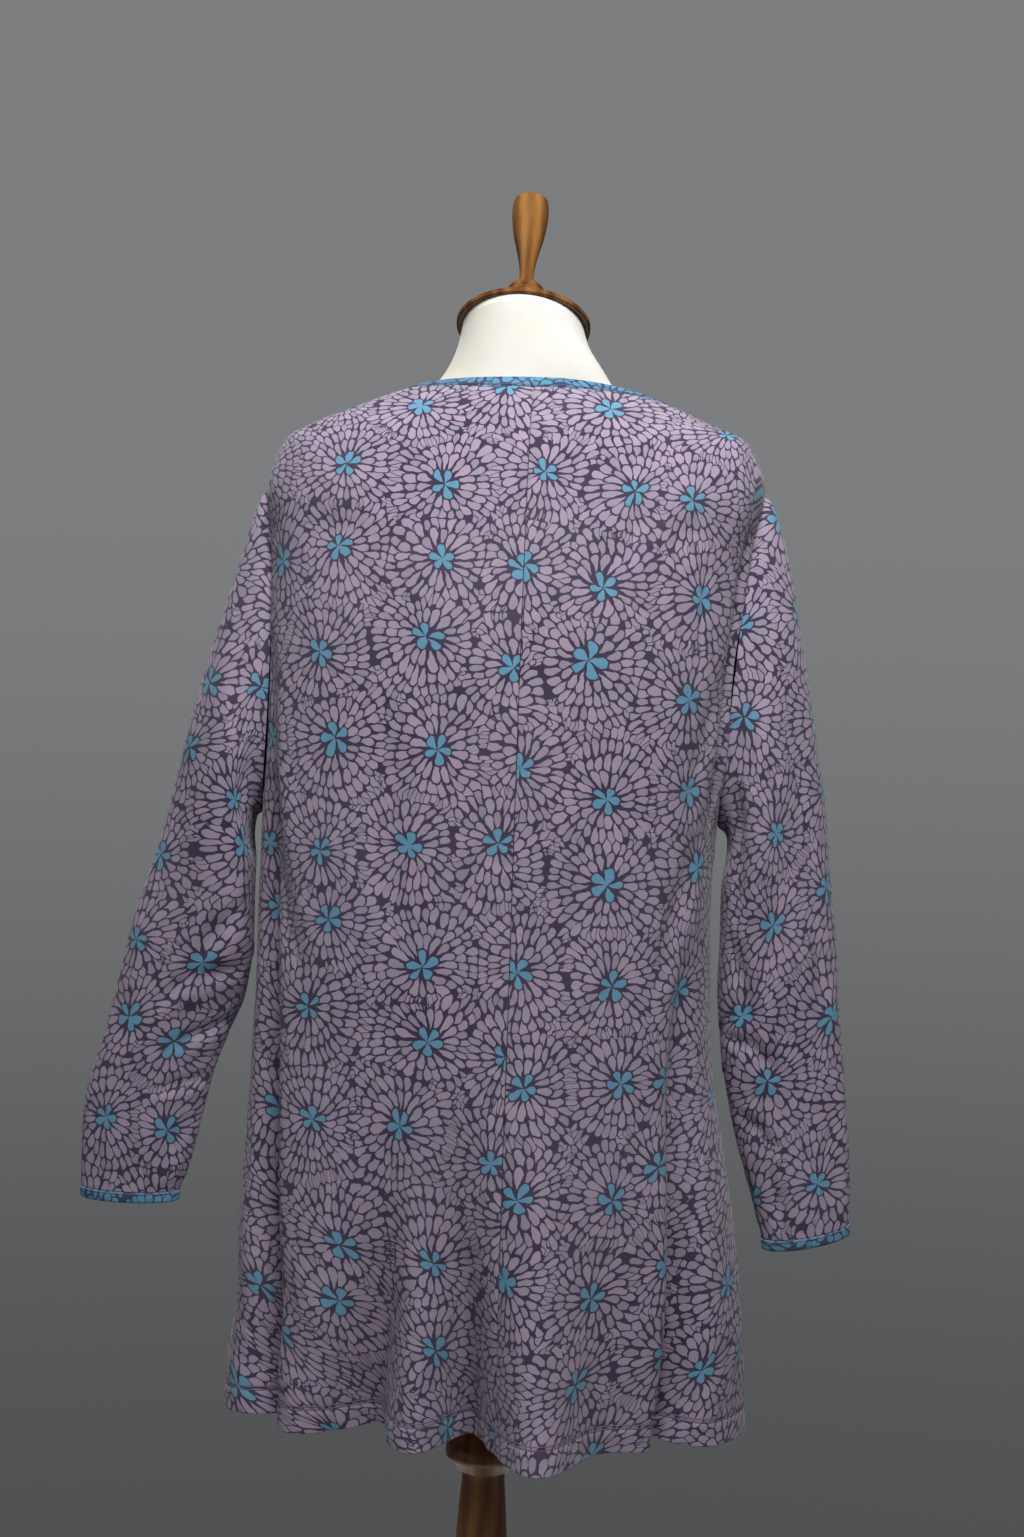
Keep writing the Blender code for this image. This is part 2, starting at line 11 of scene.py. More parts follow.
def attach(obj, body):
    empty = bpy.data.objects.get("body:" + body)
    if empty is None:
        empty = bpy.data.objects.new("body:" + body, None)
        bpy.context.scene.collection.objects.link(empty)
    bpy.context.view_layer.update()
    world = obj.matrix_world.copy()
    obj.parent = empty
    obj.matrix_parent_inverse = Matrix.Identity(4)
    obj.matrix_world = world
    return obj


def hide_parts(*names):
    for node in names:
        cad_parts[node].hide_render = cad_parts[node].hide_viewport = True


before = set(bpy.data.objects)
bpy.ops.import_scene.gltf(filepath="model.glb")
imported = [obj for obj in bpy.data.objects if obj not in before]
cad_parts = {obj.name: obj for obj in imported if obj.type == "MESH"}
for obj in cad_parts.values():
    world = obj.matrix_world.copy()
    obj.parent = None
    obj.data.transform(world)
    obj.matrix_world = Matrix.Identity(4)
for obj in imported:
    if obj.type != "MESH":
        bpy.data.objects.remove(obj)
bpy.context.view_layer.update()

bl_info = {
    "name": "Jersey shift dress on a form",
    "version": (1, 0, 0),
    "blender": (4, 5, 0),
    "location": "3D View > Sidebar > Dress",
    "description": "Dresses a limbless form in a printed long-sleeved jersey shift",
    "category": "Object",
}

# Cloth. The cloth itself is thinner than the wall that stands for it, which leaves room for the
# turned-up hem inside.
WALL = 0.0015
CLOTH = 0.0007
BINDING_WALL = 0.0024
BINDING_WIDTH = 0.0085
BINDING_ROWS = 9
# How much fuller a binding is in its middle than at its edges, and the ripple along it
BINDING_SWELL = 0.0004
BINDING_RIPPLE = 0.00022
BINDING_RIPPLE_STEP = 0.0042
SEAM_GAP = 0.0003
CENTRE_X = -0.014
HEM_Z = 0.616
HEM_DEPTH = 0.0215
# A panel's fine rows over the shoulder, along the armhole and down the skirt, its columns between
# the fine ones beside its seams, and where these lie
YOKE_ROWS = 35
ARMHOLE_ROWS = 70
SKIRT_ROWS = 142
PANEL_COLUMNS = {"front": 150, "back_left": 74, "back_right": 74}
SEAM_COLUMNS = (SEAM_GAP / 2, 0.0007, 0.0014, 0.0026, 0.0044)
# Heights of the hem's fine rows above its lower edge: down outside, then up inside, with how far
# in the first of these lies
HEM_ROWS_OUTSIDE = (
    0.0222, 0.0214, 0.0208, 0.0202, 0.0194, 0.0188, 0.0182, 0.0174, 0.0160, 0.0130, 0.0100,
    0.0070, 0.0040, 0.0018, 0.0006, 0.0001,
)
HEM_ROWS_INSIDE = (0.0006, 0.0020, 0.0060, 0.0120, 0.0180, HEM_DEPTH)
HEM_ROLL = 0.0012
# The twin-needle hem's two rows of stitching, as heights above its lower edge, and the threads
HEM_STITCH_ROWS = (0.0182, 0.0208)
HEM_THREAD = 0.00074
BINDING_THREAD = 0.00050
BINDING_STITCH = 0.0024
# The stitch that is copied is 0.2 thick for each 1 of its length, and this makes it 1 thick
STITCH_WIDENING = 5.0
# How far down its width a binding is stitched, at the neck and at a cuff
NECK_STITCH_SHARE = 0.84
CUFF_STITCH_SHARE = 0.16
# Small relief of the cloth, in metres: how far it is drawn in beside a seam, with each dip's reach;
# the pucker along a seam; the channels under the hem's stitching; the step where the hem is double;
# and the wave of its lower edge
SEAM_DIPS = ((0.0006, 0.0015), (0.0003, 0.006))
PUCKER_HEIGHT = 0.0005
PUCKER_STEP = 0.0036
PUCKER_REACH = 0.011
CHANNEL_DEPTH = 0.00075
CHANNEL_REACH = 0.0010
HEM_STEP = 0.0005
HEM_STEP_TOP = 0.0225
HEM_WAVE = 0.0008
HEM_WAVE_STEP = 0.0085
HEM_WAVE_TOP = 0.016
# Above this level the cloth lies on the form, which keeps its troughs shallow
ON_FORM_Z = 1.33
SHALLOW_SHARE = 0.15

# The body, from the neck edge down to the hem. A row is one closed ring of cloth.
SECTION_COLUMNS = (
    "back_z", "left_x", "left_z", "right_x", "right_z", "front_z", "back_y", "front_y", "power",
)
SECTIONS = (
    (1.426, 0.0800, 1.4280, -0.1090, 1.4195, 1.378, 0.062, 0.078, 2.00),
    (1.409, 0.1070, 1.4200, -0.1310, 1.4110, 1.362, 0.074, 0.089, 2.05),
    (1.390, 0.1370, 1.4080, -0.1520, 1.4015, 1.341, 0.084, 0.099, 2.10),
    (1.370, 0.1650, 1.3965, -0.1690, 1.3945, 1.319, 0.091, 0.107, 2.20),
    (1.348, 0.1862, 1.3820, -0.1828, 1.3850, 1.296, 0.096, 0.112, 2.25),
    (1.323, 0.1978, 1.3500, -0.1950, 1.3550, 1.275, 0.100, 0.116, 2.35),
    (1.287, 0.1950, 1.3000, -0.1880, 1.3020, 1.248, 0.104, 0.120, 2.40),
    (1.238, 0.1950, 1.2400, -0.1840, 1.2400, 1.214, 0.108, 0.122, 2.40),
    (1.160, 0.1950, 1.1600, -0.1770, 1.1600, 1.148, 0.110, 0.118, 2.40),
    (1.080, 0.1950, 1.0800, -0.1670, 1.0800, 1.074, 0.110, 0.114, 2.40),
    (0.985, 0.1955, 0.9850, -0.1655, 0.9850, 0.983, 0.108, 0.111, 2.35),
    (0.890, 0.1975, 0.8900, -0.1715, 0.8900, 0.890, 0.106, 0.110, 2.30),
    (0.780, 0.2010, 0.7800, -0.1900, 0.7800, 0.780, 0.105, 0.112, 2.30),
    (0.700, 0.2030, 0.7000, -0.2010, 0.7000, 0.700, 0.105, 0.115, 2.25),
    (HEM_Z, 0.2100, HEM_Z, -0.2045, HEM_Z, HEM_Z, 0.105, 0.120, 2.20),
)

# The hanging folds: angle in degrees from the centre back at the hem, how far the fold has
# drifted at its top, half-width in degrees, depth (outwards is positive), top, and lateness
FOLDS = (
    (-7.0, 3.0, 8.5, 0.042, 1.000, 1.7),
    (4.4, 3.0, 5.2, -0.054, 0.900, 1.8),
    (12.0, 4.0, 5.0, 0.014, 0.840, 1.5),
    (28.5, -10.0, 7.0, -0.050, 0.860, 1.6),
    (41.0, -4.0, 6.0, 0.006, 0.800, 1.2),
    (56.5, 14.0, 5.6, -0.046, 1.120, 0.8),
    (-29.0, 5.0, 11.0, -0.012, 0.900, 1.3),
    (-46.0, -12.0, 5.6, -0.044, 1.010, 1.0),
    (102.0, -6.0, 7.0, -0.022, 0.920, 1.2),
    (119.0, -4.0, 8.0, 0.024, 0.980, 1.3),
    (140.0, -5.0, 8.0, -0.034, 0.880, 1.6),
    (159.0, 2.0, 9.0, 0.026, 0.960, 1.5),
    (178.0, 3.0, 8.0, -0.032, 0.860, 1.7),
    (-162.0, 2.0, 8.0, 0.024, 0.940, 1.5),
    (-143.0, 5.0, 8.0, -0.036, 0.880, 1.6),
    (-121.0, 4.0, 8.0, 0.022, 0.960, 1.3),
    (-103.0, 5.0, 7.0, -0.020, 0.900, 1.2),
)

ARMHOLE_TOP = 1.3190
ARMHOLE_BOTTOM = 1.0850
ARMHOLE_MIDDLE = (ARMHOLE_TOP + ARMHOLE_BOTTOM) / 2
ARMHOLE_HALF = (ARMHOLE_TOP - ARMHOLE_BOTTOM) / 2
ARMHOLE_HALF_ANGLE = 16.0
# A line this much smaller than the armhole, towards which the sleeve's first ring stands back
INSIDE_SHARE = 0.98
# The print above this row of a panel is laid out from it, over the shoulders
LAYOUT_ROW = 1.287
# Levels between which the small waves grow from a part of their height at the neck to all of it
CALM_TOP = 1.40
CALM_REACH = 0.10
CALM_SHARE = 0.25
# How many weak waves make up the small ones, the longest of them in metres on the body and on a
# sleeve, and where each piece's random draws start
WAVE_COUNT = 26
BODY_WAVE = 0.16
SLEEVE_WAVE = 0.11
BODY_SEED = 11
SLEEVE_SEEDS = {"sleeve_left": 23, "sleeve_right": 37}

# The sleeves, from the armhole down to the cuff
SLEEVE_COLUMNS = ("outer_x", "outer_z", "inner_x", "inner_z", "half_depth", "mid_y", "back_drop")
LEFT_SLEEVE = (
    (0.1945, 1.3450, 0.1950, 1.0850, 0.037, 0.000, 0.000),
    (0.2065, 1.3310, 0.2010, 1.0810, 0.040, 0.000, 0.000),
    (0.2260, 1.2720, 0.2020, 1.0580, 0.043, -0.001, 0.000),
    (0.2400, 1.2220, 0.2020, 1.0360, 0.043, -0.002, 0.000),
    (0.2550, 1.1680, 0.2020, 1.0100, 0.040, -0.003, 0.000),
    (0.2690, 1.1050, 0.2025, 0.9800, 0.036, -0.005, 0.000),
    (0.2840, 1.0450, 0.2040, 0.9550, 0.031, -0.007, 0.000),
    (0.3020, 0.9900, 0.2100, 0.9300, 0.027, -0.010, 0.000),
    (0.3160, 0.9320, 0.2210, 0.9040, 0.023, -0.013, 0.000),
    (0.3280, 0.8840, 0.2330, 0.8700, 0.020, -0.015, 0.001),
    (0.3380, 0.8480, 0.2410, 0.8360, 0.018, -0.017, 0.002),
    (0.3415, 0.8120, 0.2500, 0.8000, 0.016, -0.018, 0.003),
    (0.3410, 0.7730, 0.2585, 0.7730, 0.014, -0.020, 0.004),
    (0.3405, 0.7642, 0.2590, 0.7645, 0.014, -0.020, 0.004),
)
RIGHT_SLEEVE = (
    (-0.1900, 1.3490, -0.1675, 1.0850, 0.037, 0.000, 0.000),
    (-0.2020, 1.3350, -0.1735, 1.0810, 0.040, 0.000, 0.000),
    (-0.2190, 1.2900, -0.1740, 1.0580, 0.042, -0.001, 0.000),
    (-0.2290, 1.2400, -0.1740, 1.0350, 0.042, -0.002, 0.000),
    (-0.2385, 1.1890, -0.1740, 1.0100, 0.040, -0.003, 0.000),
    (-0.2480, 1.1300, -0.1735, 0.9800, 0.036, -0.004, 0.000),
    (-0.2560, 1.0700, -0.1740, 0.9500, 0.031, -0.005, 0.000),
    (-0.2635, 1.0100, -0.1755, 0.9230, 0.027, -0.006, 0.000),
    (-0.2685, 0.9600, -0.1790, 0.8960, 0.023, -0.007, 0.000),
    (-0.2735, 0.9050, -0.1860, 0.8620, 0.020, -0.008, 0.002),
    (-0.2770, 0.8580, -0.1955, 0.8260, 0.018, -0.009, 0.004),
    (-0.2805, 0.8150, -0.2060, 0.7920, 0.016, -0.010, 0.006),
    (-0.2835, 0.7765, -0.2140, 0.7610, 0.014, -0.010, 0.008),
    (-0.2840, 0.7680, -0.2150, 0.7525, 0.014, -0.010, 0.008),
)
# Rows of the tables where the sleeve and its binding end, and where the armhole's shape has faded
SLEEVE_END = 12.0
CUFF_END = 13.0
ARMHOLE_FADE = 3.0
# The sleeve's fine rows: beside the armhole, down the arm, and beside the binding
SLEEVE_TOP_ROWS = (0.0, 0.012, 0.028, 0.055, 0.10)
SLEEVE_ROWS = 176
SLEEVE_LAST_ROWS = (SLEEVE_END - 0.05, SLEEVE_END - 0.02, SLEEVE_END)

# Creases pressed and pulled into the body: angle and level at each end, bow sideways in degrees,
# half-width and depth in metres. Each is a trough with a low ridge beside it.
CREASE_POINTS = 14
BODY_CREASES = (
    (-72.0, 1.300, -71.0, 1.085, 1.5, 0.0072, 0.0072),
    (-49.0, 1.275, -50.0, 1.195, 0.5, 0.0040, 0.0012),
    (-66.0, 1.215, -52.0, 1.090, 2.0, 0.0090, 0.0022),
    (-61.0, 1.080, -45.0, 0.960, 2.0, 0.0100, 0.0032),
    (-30.0, 1.330, -14.0, 1.250, 2.0, 0.0120, 0.0014),
    (-58.0, 1.330, -34.0, 1.285, 3.0, 0.0130, 0.0018),
    (70.0, 1.230, 61.0, 1.030, 2.0, 0.0100, 0.0036),
    (66.0, 1.120, 47.0, 0.960, 3.0, 0.0110, 0.0032),
    (52.0, 1.330, 30.0, 1.290, 3.0, 0.0140, 0.0018),
    (24.0, 1.180, 20.0, 0.980, 2.0, 0.0150, 0.0022),
    (-20.0, 1.120, -17.0, 0.960, 2.0, 0.0140, 0.0022),
    (6.0, 1.060, 9.0, 0.900, 1.0, 0.0130, 0.0024),
    (108.0, 1.210, 122.0, 1.050, 3.0, 0.0110, 0.0026),
    (112.0, 1.110, 133.0, 0.940, 3.0, 0.0120, 0.0024),
    (-108.0, 1.200, -124.0, 1.040, 3.0, 0.0110, 0.0026),
    (-114.0, 1.100, -136.0, 0.930, 3.0, 0.0120, 0.0022),
    (166.0, 1.270, 171.0, 1.090, 2.0, 0.0150, 0.0016),
    (-160.0, 1.250, -170.0, 1.060, 2.0, 0.0150, 0.0015),
    (128.0, 1.330, 152.0, 1.280, 3.0, 0.0130, 0.0018),
    (-128.0, 1.330, -150.0, 1.285, 3.0, 0.0130, 0.0018),
)

# Creases of the sleeves: angles from the outer fold, round by the front, and rows of the table
LEFT_SLEEVE_CREASES = (
    (236.0, 1.0, 232.0, 5.0, 5.0, 0.0090, 0.0030),
    (208.0, 4.2, 262.0, 7.2, 9.0, 0.0085, 0.0030),
    (202.0, 6.0, 285.0, 8.0, 8.0, 0.0070, 0.0024),
    (196.0, 7.6, 258.0, 8.7, 6.0, 0.0055, 0.0022),
    (198.0, 9.0, 262.0, 9.6, 5.0, 0.0055, 0.0020),
    (218.0, 10.0, 236.0, 11.7, 4.0, 0.0060, 0.0018),
    (300.0, 3.0, 316.0, 7.0, 5.0, 0.0110, 0.0018),
    (296.0, 9.2, 310.0, 11.8, 4.0, 0.0070, 0.0014),
    (136.0, 1.4, 128.0, 5.2, 5.0, 0.0090, 0.0026),
    (152.0, 4.4, 98.0, 7.4, 9.0, 0.0085, 0.0028),
    (158.0, 6.4, 82.0, 8.4, 8.0, 0.0070, 0.0022),
    (160.0, 8.6, 104.0, 9.4, 5.0, 0.0055, 0.0020),
    (60.0, 3.0, 48.0, 7.5, 5.0, 0.0110, 0.0018),
    (130.0, 10.0, 118.0, 11.7, 4.0, 0.0060, 0.0016),
)
RIGHT_SLEEVE_CREASES = (
    (226.0, 0.6, 222.0, 5.0, 4.0, 0.0080, 0.0040),
    (214.0, 4.6, 240.0, 8.2, 6.0, 0.0080, 0.0030),
    (300.0, 2.0, 304.0, 6.0, 4.0, 0.0090, 0.0018),
    (312.0, 5.6, 306.0, 9.4, 4.0, 0.0060, 0.0018),
    (318.0, 9.0, 312.0, 11.8, 3.0, 0.0050, 0.0018),
    (204.0, 7.2, 262.0, 8.8, 7.0, 0.0065, 0.0024),
    (206.0, 9.0, 250.0, 10.2, 6.0, 0.0055, 0.0020),
    (232.0, 9.8, 238.0, 11.8, 3.0, 0.0060, 0.0020),
    (136.0, 1.2, 132.0, 5.0, 5.0, 0.0090, 0.0026),
    (150.0, 4.6, 104.0, 7.6, 9.0, 0.0085, 0.0028),
    (156.0, 6.8, 88.0, 8.6, 8.0, 0.0070, 0.0022),
    (58.0, 3.0, 50.0, 8.0, 5.0, 0.0110, 0.0018),
    (128.0, 9.6, 120.0, 11.7, 4.0, 0.0060, 0.0016),
)

# Turned wood, as radius and height up each piece's own axis
NECK_TILT = 19.0
NECK_TOP = 1.4760
SEAT_GAP = 0.0003
CAP_PROFILE = (
    (0.0490, 0.0000), (0.0522, 0.0000), (0.0534, 0.0012), (0.0536, 0.0038), (0.0522, 0.0054),
    (0.0440, 0.0092), (0.0320, 0.0164), (0.0210, 0.0250), (0.0165, 0.0315), (0.0150, 0.0330),
)
FINIAL_PROFILE = (
    (0.0148, 0.0000), (0.0148, 0.0030), (0.0128, 0.0055), (0.0085, 0.0080), (0.0061, 0.0125),
    (0.0058, 0.0185), (0.0068, 0.0275), (0.0092, 0.0395), (0.0122, 0.0525), (0.0141, 0.0645),
    (0.0148, 0.0735), (0.0147, 0.0815), (0.0139, 0.0866), (0.0116, 0.0885),
)
POLE_TOP = 0.7000
POLE_PROFILE = (
    (0.0190, 0.0300), (0.0300, 0.0300), (0.0300, 0.0420), (0.0230, 0.0480), (0.0195, 0.0600),
    (0.0185, 0.1500), (0.0195, 0.2600), (0.0240, 0.2720), (0.0240, 0.2800), (0.0170, 0.2920),
    (0.0175, 0.3300), (0.0225, 0.3900), (0.0238, 0.4350), (0.0224, 0.4800), (0.0200, 0.5180),
    (0.0180, 0.5480), (0.0169, 0.5640), (0.0172, 0.5672), (0.0236, 0.5694), (0.0258, 0.5730),
    (0.0282, 0.5760), (0.0303, 0.5784), (0.0308, 0.5824), (0.0300, 0.5864), (0.0258, 0.5935),
    (0.0210, 0.6040), (0.0172, 0.6200), (0.0160, 0.6400), (0.0160, POLE_TOP - SEAT_GAP),
)
BASE_PROFILE = (
    (0.1700, 0.0000), (0.1740, 0.0040), (0.1740, 0.0130), (0.1690, 0.0170), (0.1500, 0.0210),
    (0.0900, 0.0260), (0.0450, 0.0290), (0.0400, 0.0297),
)
# Where two neighbouring parts of a profile turn by more than this, the turner left a crisp edge
CRISP_TURN = 38.0
# An edge of the form's cover that turns by more than this, in radians, is a rim
RIM_TURN = 0.9
# Between these heights the wood grows paler
WOOD_PALES = (1.515, 1.585)
# The stand's wood beside the neck's, at its lightest and darkest. It is painted lighter than the
# neck's wood:
# # painted light that makes up for the shade the dress casts on the pole.
STAND_LIGHTEST_PAINTED_LIGHTER = 1.15
STAND_DARKEST_PAINTED_LIGHTER = 1.4

# The print, in steps of a ring: where the first ring lies, the petals in a ring for each turn of
# the count, and a petal's half-length and half-width
FIRST_RING = 0.55
PETALS_PER_TURN = 10.9
PETAL_HALF_LENGTH = 0.68
PETAL_HALF_WIDTH = 0.352
# The flower in the middle has its own number of petals, shorter and wider than the others
FLOWER_PETALS = 5.0
FLOWER_SHORTNESS = 0.78
FLOWER_SLIMNESS = 1.10
# How unevenly the flowers are scattered, and how finely and how far two noises shift the print
FLOWER_SCATTER = 0.52
PRINT_DRIFTS = ((24.0, 0.0060), (150.0, 0.0011))
# Where a petal's colour ends, where the next ring begins under it, where two bursts part, and how
# near to another burst a petal shrinks
PETAL_EDGE = (0.93, 1.01)
RING_GAP = (1.14, 1.24)
BURST_GAP = (0.12, 0.21)
SHRINK_NEAR = (-0.14, 0.32)
# A petal with less room than this isn't printed, and this puts its edge out of reach
LEAST_ROOM = 0.06
OUT_OF_REACH = 9.0

# Colours that time and the cloth's wrong side mix into the print
FADED_TONE = (0.40, 0.36, 0.42, 1.0)
WRONG_SIDE_TONE = (0.20, 0.16, 0.22, 1.0)
WRONG_SIDE_SHARE = 0.45

# The patterns in the cloths and the wood: a larger number is a finer pattern
WALES = 330.0
COURSES = 410.0
FIBRES = 1700.0
WEAR = 420.0
FADING = 9.0
SLACK = 70.0
TWIST = 2600.0
STAIN = 14.0
WEAVE = 420.0
WOOD_CLOUD = 38.0
WOOD_GRAIN = 520.0
WOOD_RINGS = 24.0
WOOD_WEAR = 90.0
# Along the grain the wood's patterns are stretched to this share
WOOD_STRETCH = 0.16
# Sheen and gloss of the finishes
JERSEY_SHEEN = 0.14
JERSEY_SHEEN_ROUGHNESS = 0.45
JERSEY_GLOSS = 0.25
COVER_SHEEN = 0.15
YELLOWING = (0.94, 0.91, 0.83)
VARNISH_COAT = 0.35
VARNISH_ROUGHNESS = 0.10

# The shift of each cut piece's layout on the printed cloth, so that the print breaks at seams
LAYOUT = {
    "back_left": (0.310, 0.120),
    "back_right": (1.475, 0.655),
    "front": (2.730, 0.210),
    "sleeve_left": (4.120, 0.540),
    "sleeve_right": (5.360, 0.930),
    "neck_binding": (6.410, 0.350),
    "cuff_binding_left": (7.150, 0.720),
    "cuff_binding_right": (7.830, 0.180),
}

# The camera stands behind the dress, a little to the wearer's right
VIEW_AZIMUTH = 184.0
VIEW_DISTANCE = 1.5
VIEW_Z = 1.126
VIEW_ROLL = 2.0
VIEW_SLIDE = 0.0032
# The wall's brightness as seen behind the dress, how much of it is left at its foot, and the
# directions up and down between which it fades
WALL_BRIGHTNESS = 0.36
WALL_FOOT = 0.40
WALL_SPAN = (-0.40, 0.16)
FLOOR_RADIUS = 1.3
FLOOR_FADE = (0.55, 1.20)
# The lights all aim at one point of the dress. Each has a name, a place, a size and a share of the
# key light's power, and the varnish mirrors it or doesn't.
LIGHTS_AIM = (0.0, 0.0, 1.15)
LIGHTS = (
    ("key", (-0.20, 0.98, 2.55), 0.7, 1.0, False),
    ("fill", (2.1, 1.8, 2.3), 1.8, 0.13, True),
    ("glint", (0.55, 1.30, 2.00), 0.16, 0.03, True),
    ("front", (1.2, -3.0, 2.1), 2.0, 2.4, False),
)


class DressSettings(bpy.types.PropertyGroup):
    """Sizes and colours of the dress that a user would change."""

    petal_colour: FloatVectorProperty(
        name="Petals", description="Most of the printed petals", subtype="COLOR", size=3,
        min=0.0, max=1.0, default=(0.262, 0.220, 0.290))
    pink_colour: FloatVectorProperty(
        name="Pinker petals", description="The few petals that came out pinker",
        subtype="COLOR", size=3, min=0.0, max=1.0, default=(0.278, 0.212, 0.275))
    flower_colour: FloatVectorProperty(
        name="Flowers", description="The small flower in the middle of each burst",
        subtype="COLOR", size=3, min=0.0, max=1.0, default=(0.090, 0.238, 0.350))
    ground_colour: FloatVectorProperty(
        name="Ground", description="The cloth between the petals", subtype="COLOR", size=3,
        min=0.0, max=1.0, default=(0.032, 0.022, 0.050))
    binding_petal_colour: FloatVectorProperty(
        name="Binding petals", description="The petals on the neck and cuff bindings",
        subtype="COLOR", size=3, min=0.0, max=1.0, default=(0.060, 0.195, 0.305))
    binding_ground_colour: FloatVectorProperty(
        name="Binding ground", description="The binding between its petals", subtype="COLOR",
        size=3, min=0.0, max=1.0, default=(0.018, 0.028, 0.068))
    thread_colour: FloatVectorProperty(
        name="Thread", description="The sewing thread", subtype="COLOR", size=3,
        min=0.0, max=1.0, default=(0.170, 0.125, 0.185))
    flower_pitch: FloatProperty(
        name="Flower pitch", description="Mean distance between two flowers",
        subtype="DISTANCE", unit="LENGTH", min=0.03, max=0.2, default=0.073)
    ring_step: FloatProperty(
        name="Ring step", description="Distance between two rings of petals in a burst",
        subtype="DISTANCE", unit="LENGTH", min=0.006, max=0.03, default=0.0104)
    relief: FloatProperty(
        name="Relief", description="Height of the cloth's small uneven waves",
        subtype="DISTANCE", unit="LENGTH", min=0.0, max=0.004, default=0.0011)
    stitch_length: FloatProperty(
        name="Stitch", description="Length of one stitch of the twin-needle hem",
        subtype="DISTANCE", unit="LENGTH", min=0.0015, max=0.006, default=0.0028)
    around_steps: IntProperty(
        name="Sleeve columns", description="Columns of faces round a sleeve",
        min=24, max=160, default=104)


class FormSettings(bpy.types.PropertyGroup):
    """Sizes and colours of the form and its wood."""

    cover_colour: FloatVectorProperty(
        name="Cover", description="The form's cream cover", subtype="COLOR", size=3,
        min=0.0, max=1.0, default=(0.640, 0.628, 0.590))
    wood_light: FloatVectorProperty(
        name="Light wood", description="The lightest grain under the varnish",
        subtype="COLOR", size=3, min=0.0, max=1.0, default=(0.235, 0.108, 0.026))
    wood_dark: FloatVectorProperty(
        name="Dark wood", description="The darkest grain under the varnish",
        subtype="COLOR", size=3, min=0.0, max=1.0, default=(0.070, 0.019, 0.006))
    turning_steps: IntProperty(
        name="Turning steps", description="Faces round a turned piece",
        min=24, max=192, default=96)


class StageSettings(bpy.types.PropertyGroup):
    """Floor, light and camera."""

    floor_colour: FloatVectorProperty(
        name="Floor", description="The pale floor", subtype="COLOR", size=3,
        min=0.0, max=1.0, default=(0.600, 0.610, 0.620))
    sky_colour: FloatVectorProperty(
        name="Surround", description="The soft light all round", subtype="COLOR", size=3,
        min=0.0, max=1.0, default=(0.560, 0.575, 0.590))
    sky_strength: FloatProperty(
        name="Surround strength", description="Brightness of the surround",
        min=0.0, max=4.0, default=0.13)
    key_power: FloatProperty(
        name="Key light", description="Power of the large soft light", subtype="POWER",
        unit="POWER", min=0.0, max=500.0, default=51.0)
    lens: FloatProperty(
        name="Lens", description="Focal length", subtype="DISTANCE_CAMERA", unit="CAMERA",
        min=20.0, max=200.0, default=44.0)


def columns_of(rows, names):
    """A table's columns by name."""
    return dict(zip(names, np.array(rows, float).T))


def through(keys, values, at):
    """A smooth curve through the points of one column, read at the given keys."""
    if keys[0] > keys[-1]:
        keys, values = keys[::-1], values[::-1]
    slope = np.gradient(values, keys)
    at = np.clip(at, keys[0], keys[-1])
    i = np.clip(np.searchsorted(keys, at) - 1, 0, len(keys) - 2)
    span = keys[i + 1] - keys[i]
    t = (at - keys[i]) / span
    start = (2 * t**3 - 3 * t**2 + 1) * values[i] + (t**3 - 2 * t**2 + t) * span * slope[i]
    end = (3 * t**2 - 2 * t**3) * values[i + 1] + (t**3 - t**2) * span * slope[i + 1]
    return start + end


def ease(t):
    """Rises gently from 0 to 1."""
    t = np.clip(t, 0.0, 1.0)
    return t * t * (3.0 - 2.0 * t)


def bell(away, reach):
    """Falls off smoothly from 1 with distance, and is small beyond reach."""
    return np.exp(-((away / reach) ** 2))


def unit(vectors):
    """The same directions, 1 long."""
    return vectors / np.maximum(np.linalg.norm(vectors, axis=-1, keepdims=True), 1e-12)


SECTION = columns_of(SECTIONS, SECTION_COLUMNS)
SLEEVES = {
    "sleeve_left": (columns_of(LEFT_SLEEVE, SLEEVE_COLUMNS), 1.0, LEFT_SLEEVE_CREASES),
    "sleeve_right": (columns_of(RIGHT_SLEEVE, SLEEVE_COLUMNS), -1.0, RIGHT_SLEEVE_CREASES),
}


def fold_depth(angle, level):
    """How far the folds move the cloth outwards at an angle in degrees and a height."""
    moved = np.zeros_like(level)
    for foot, drift, width, depth, top_z, late in FOLDS:
        opened = np.clip((top_z - level) / (top_z - HEM_Z), 0.0, 1.0)
        middle = foot + drift * (1.0 - opened)
        away = (angle - middle + 180.0) % 360.0 - 180.0
        moved += depth * opened**late * bell(away, width)
    return moved


def body_point(angle, level):
    """A point on the outer face of the body: an angle in degrees and the ring's back_z."""
    angle, level = np.broadcast_arrays(np.asarray(angle, float), np.asarray(level, float))
    read = {name: through(SECTION["back_z"], SECTION[name], level) for name in SECTION}
    turn = np.radians(angle)
    sideways, backwards = np.sin(turn), np.cos(turn)
    left, behind = sideways > 0.0, backwards > 0.0
    width = np.where(left, read["left_x"] - CENTRE_X, CENTRE_X - read["right_x"])
    depth = np.where(behind, read["back_y"], read["front_y"])
    side_z = np.where(left, read["left_z"], read["right_z"])
    middle_z = np.where(behind, read["back_z"], read["front_z"])
    bend = 2.0 / read["power"]
    x = CENTRE_X + np.sign(sideways) * width * np.abs(sideways) ** bend
    y = np.sign(backwards) * depth * np.abs(backwards) ** bend
    z = side_z + (middle_z - side_z) * backwards**2
    moved = fold_depth(angle, z)
    return np.stack([x + moved * sideways, y + moved * backwards, z], axis=-1)


def armhole_line(around, shrink=1.0):
    """The armhole as an angle from the side and a level, for angles from its top."""
    return (ARMHOLE_HALF_ANGLE * shrink * np.sin(around),
            ARMHOLE_MIDDLE + ARMHOLE_HALF * shrink * np.cos(around))


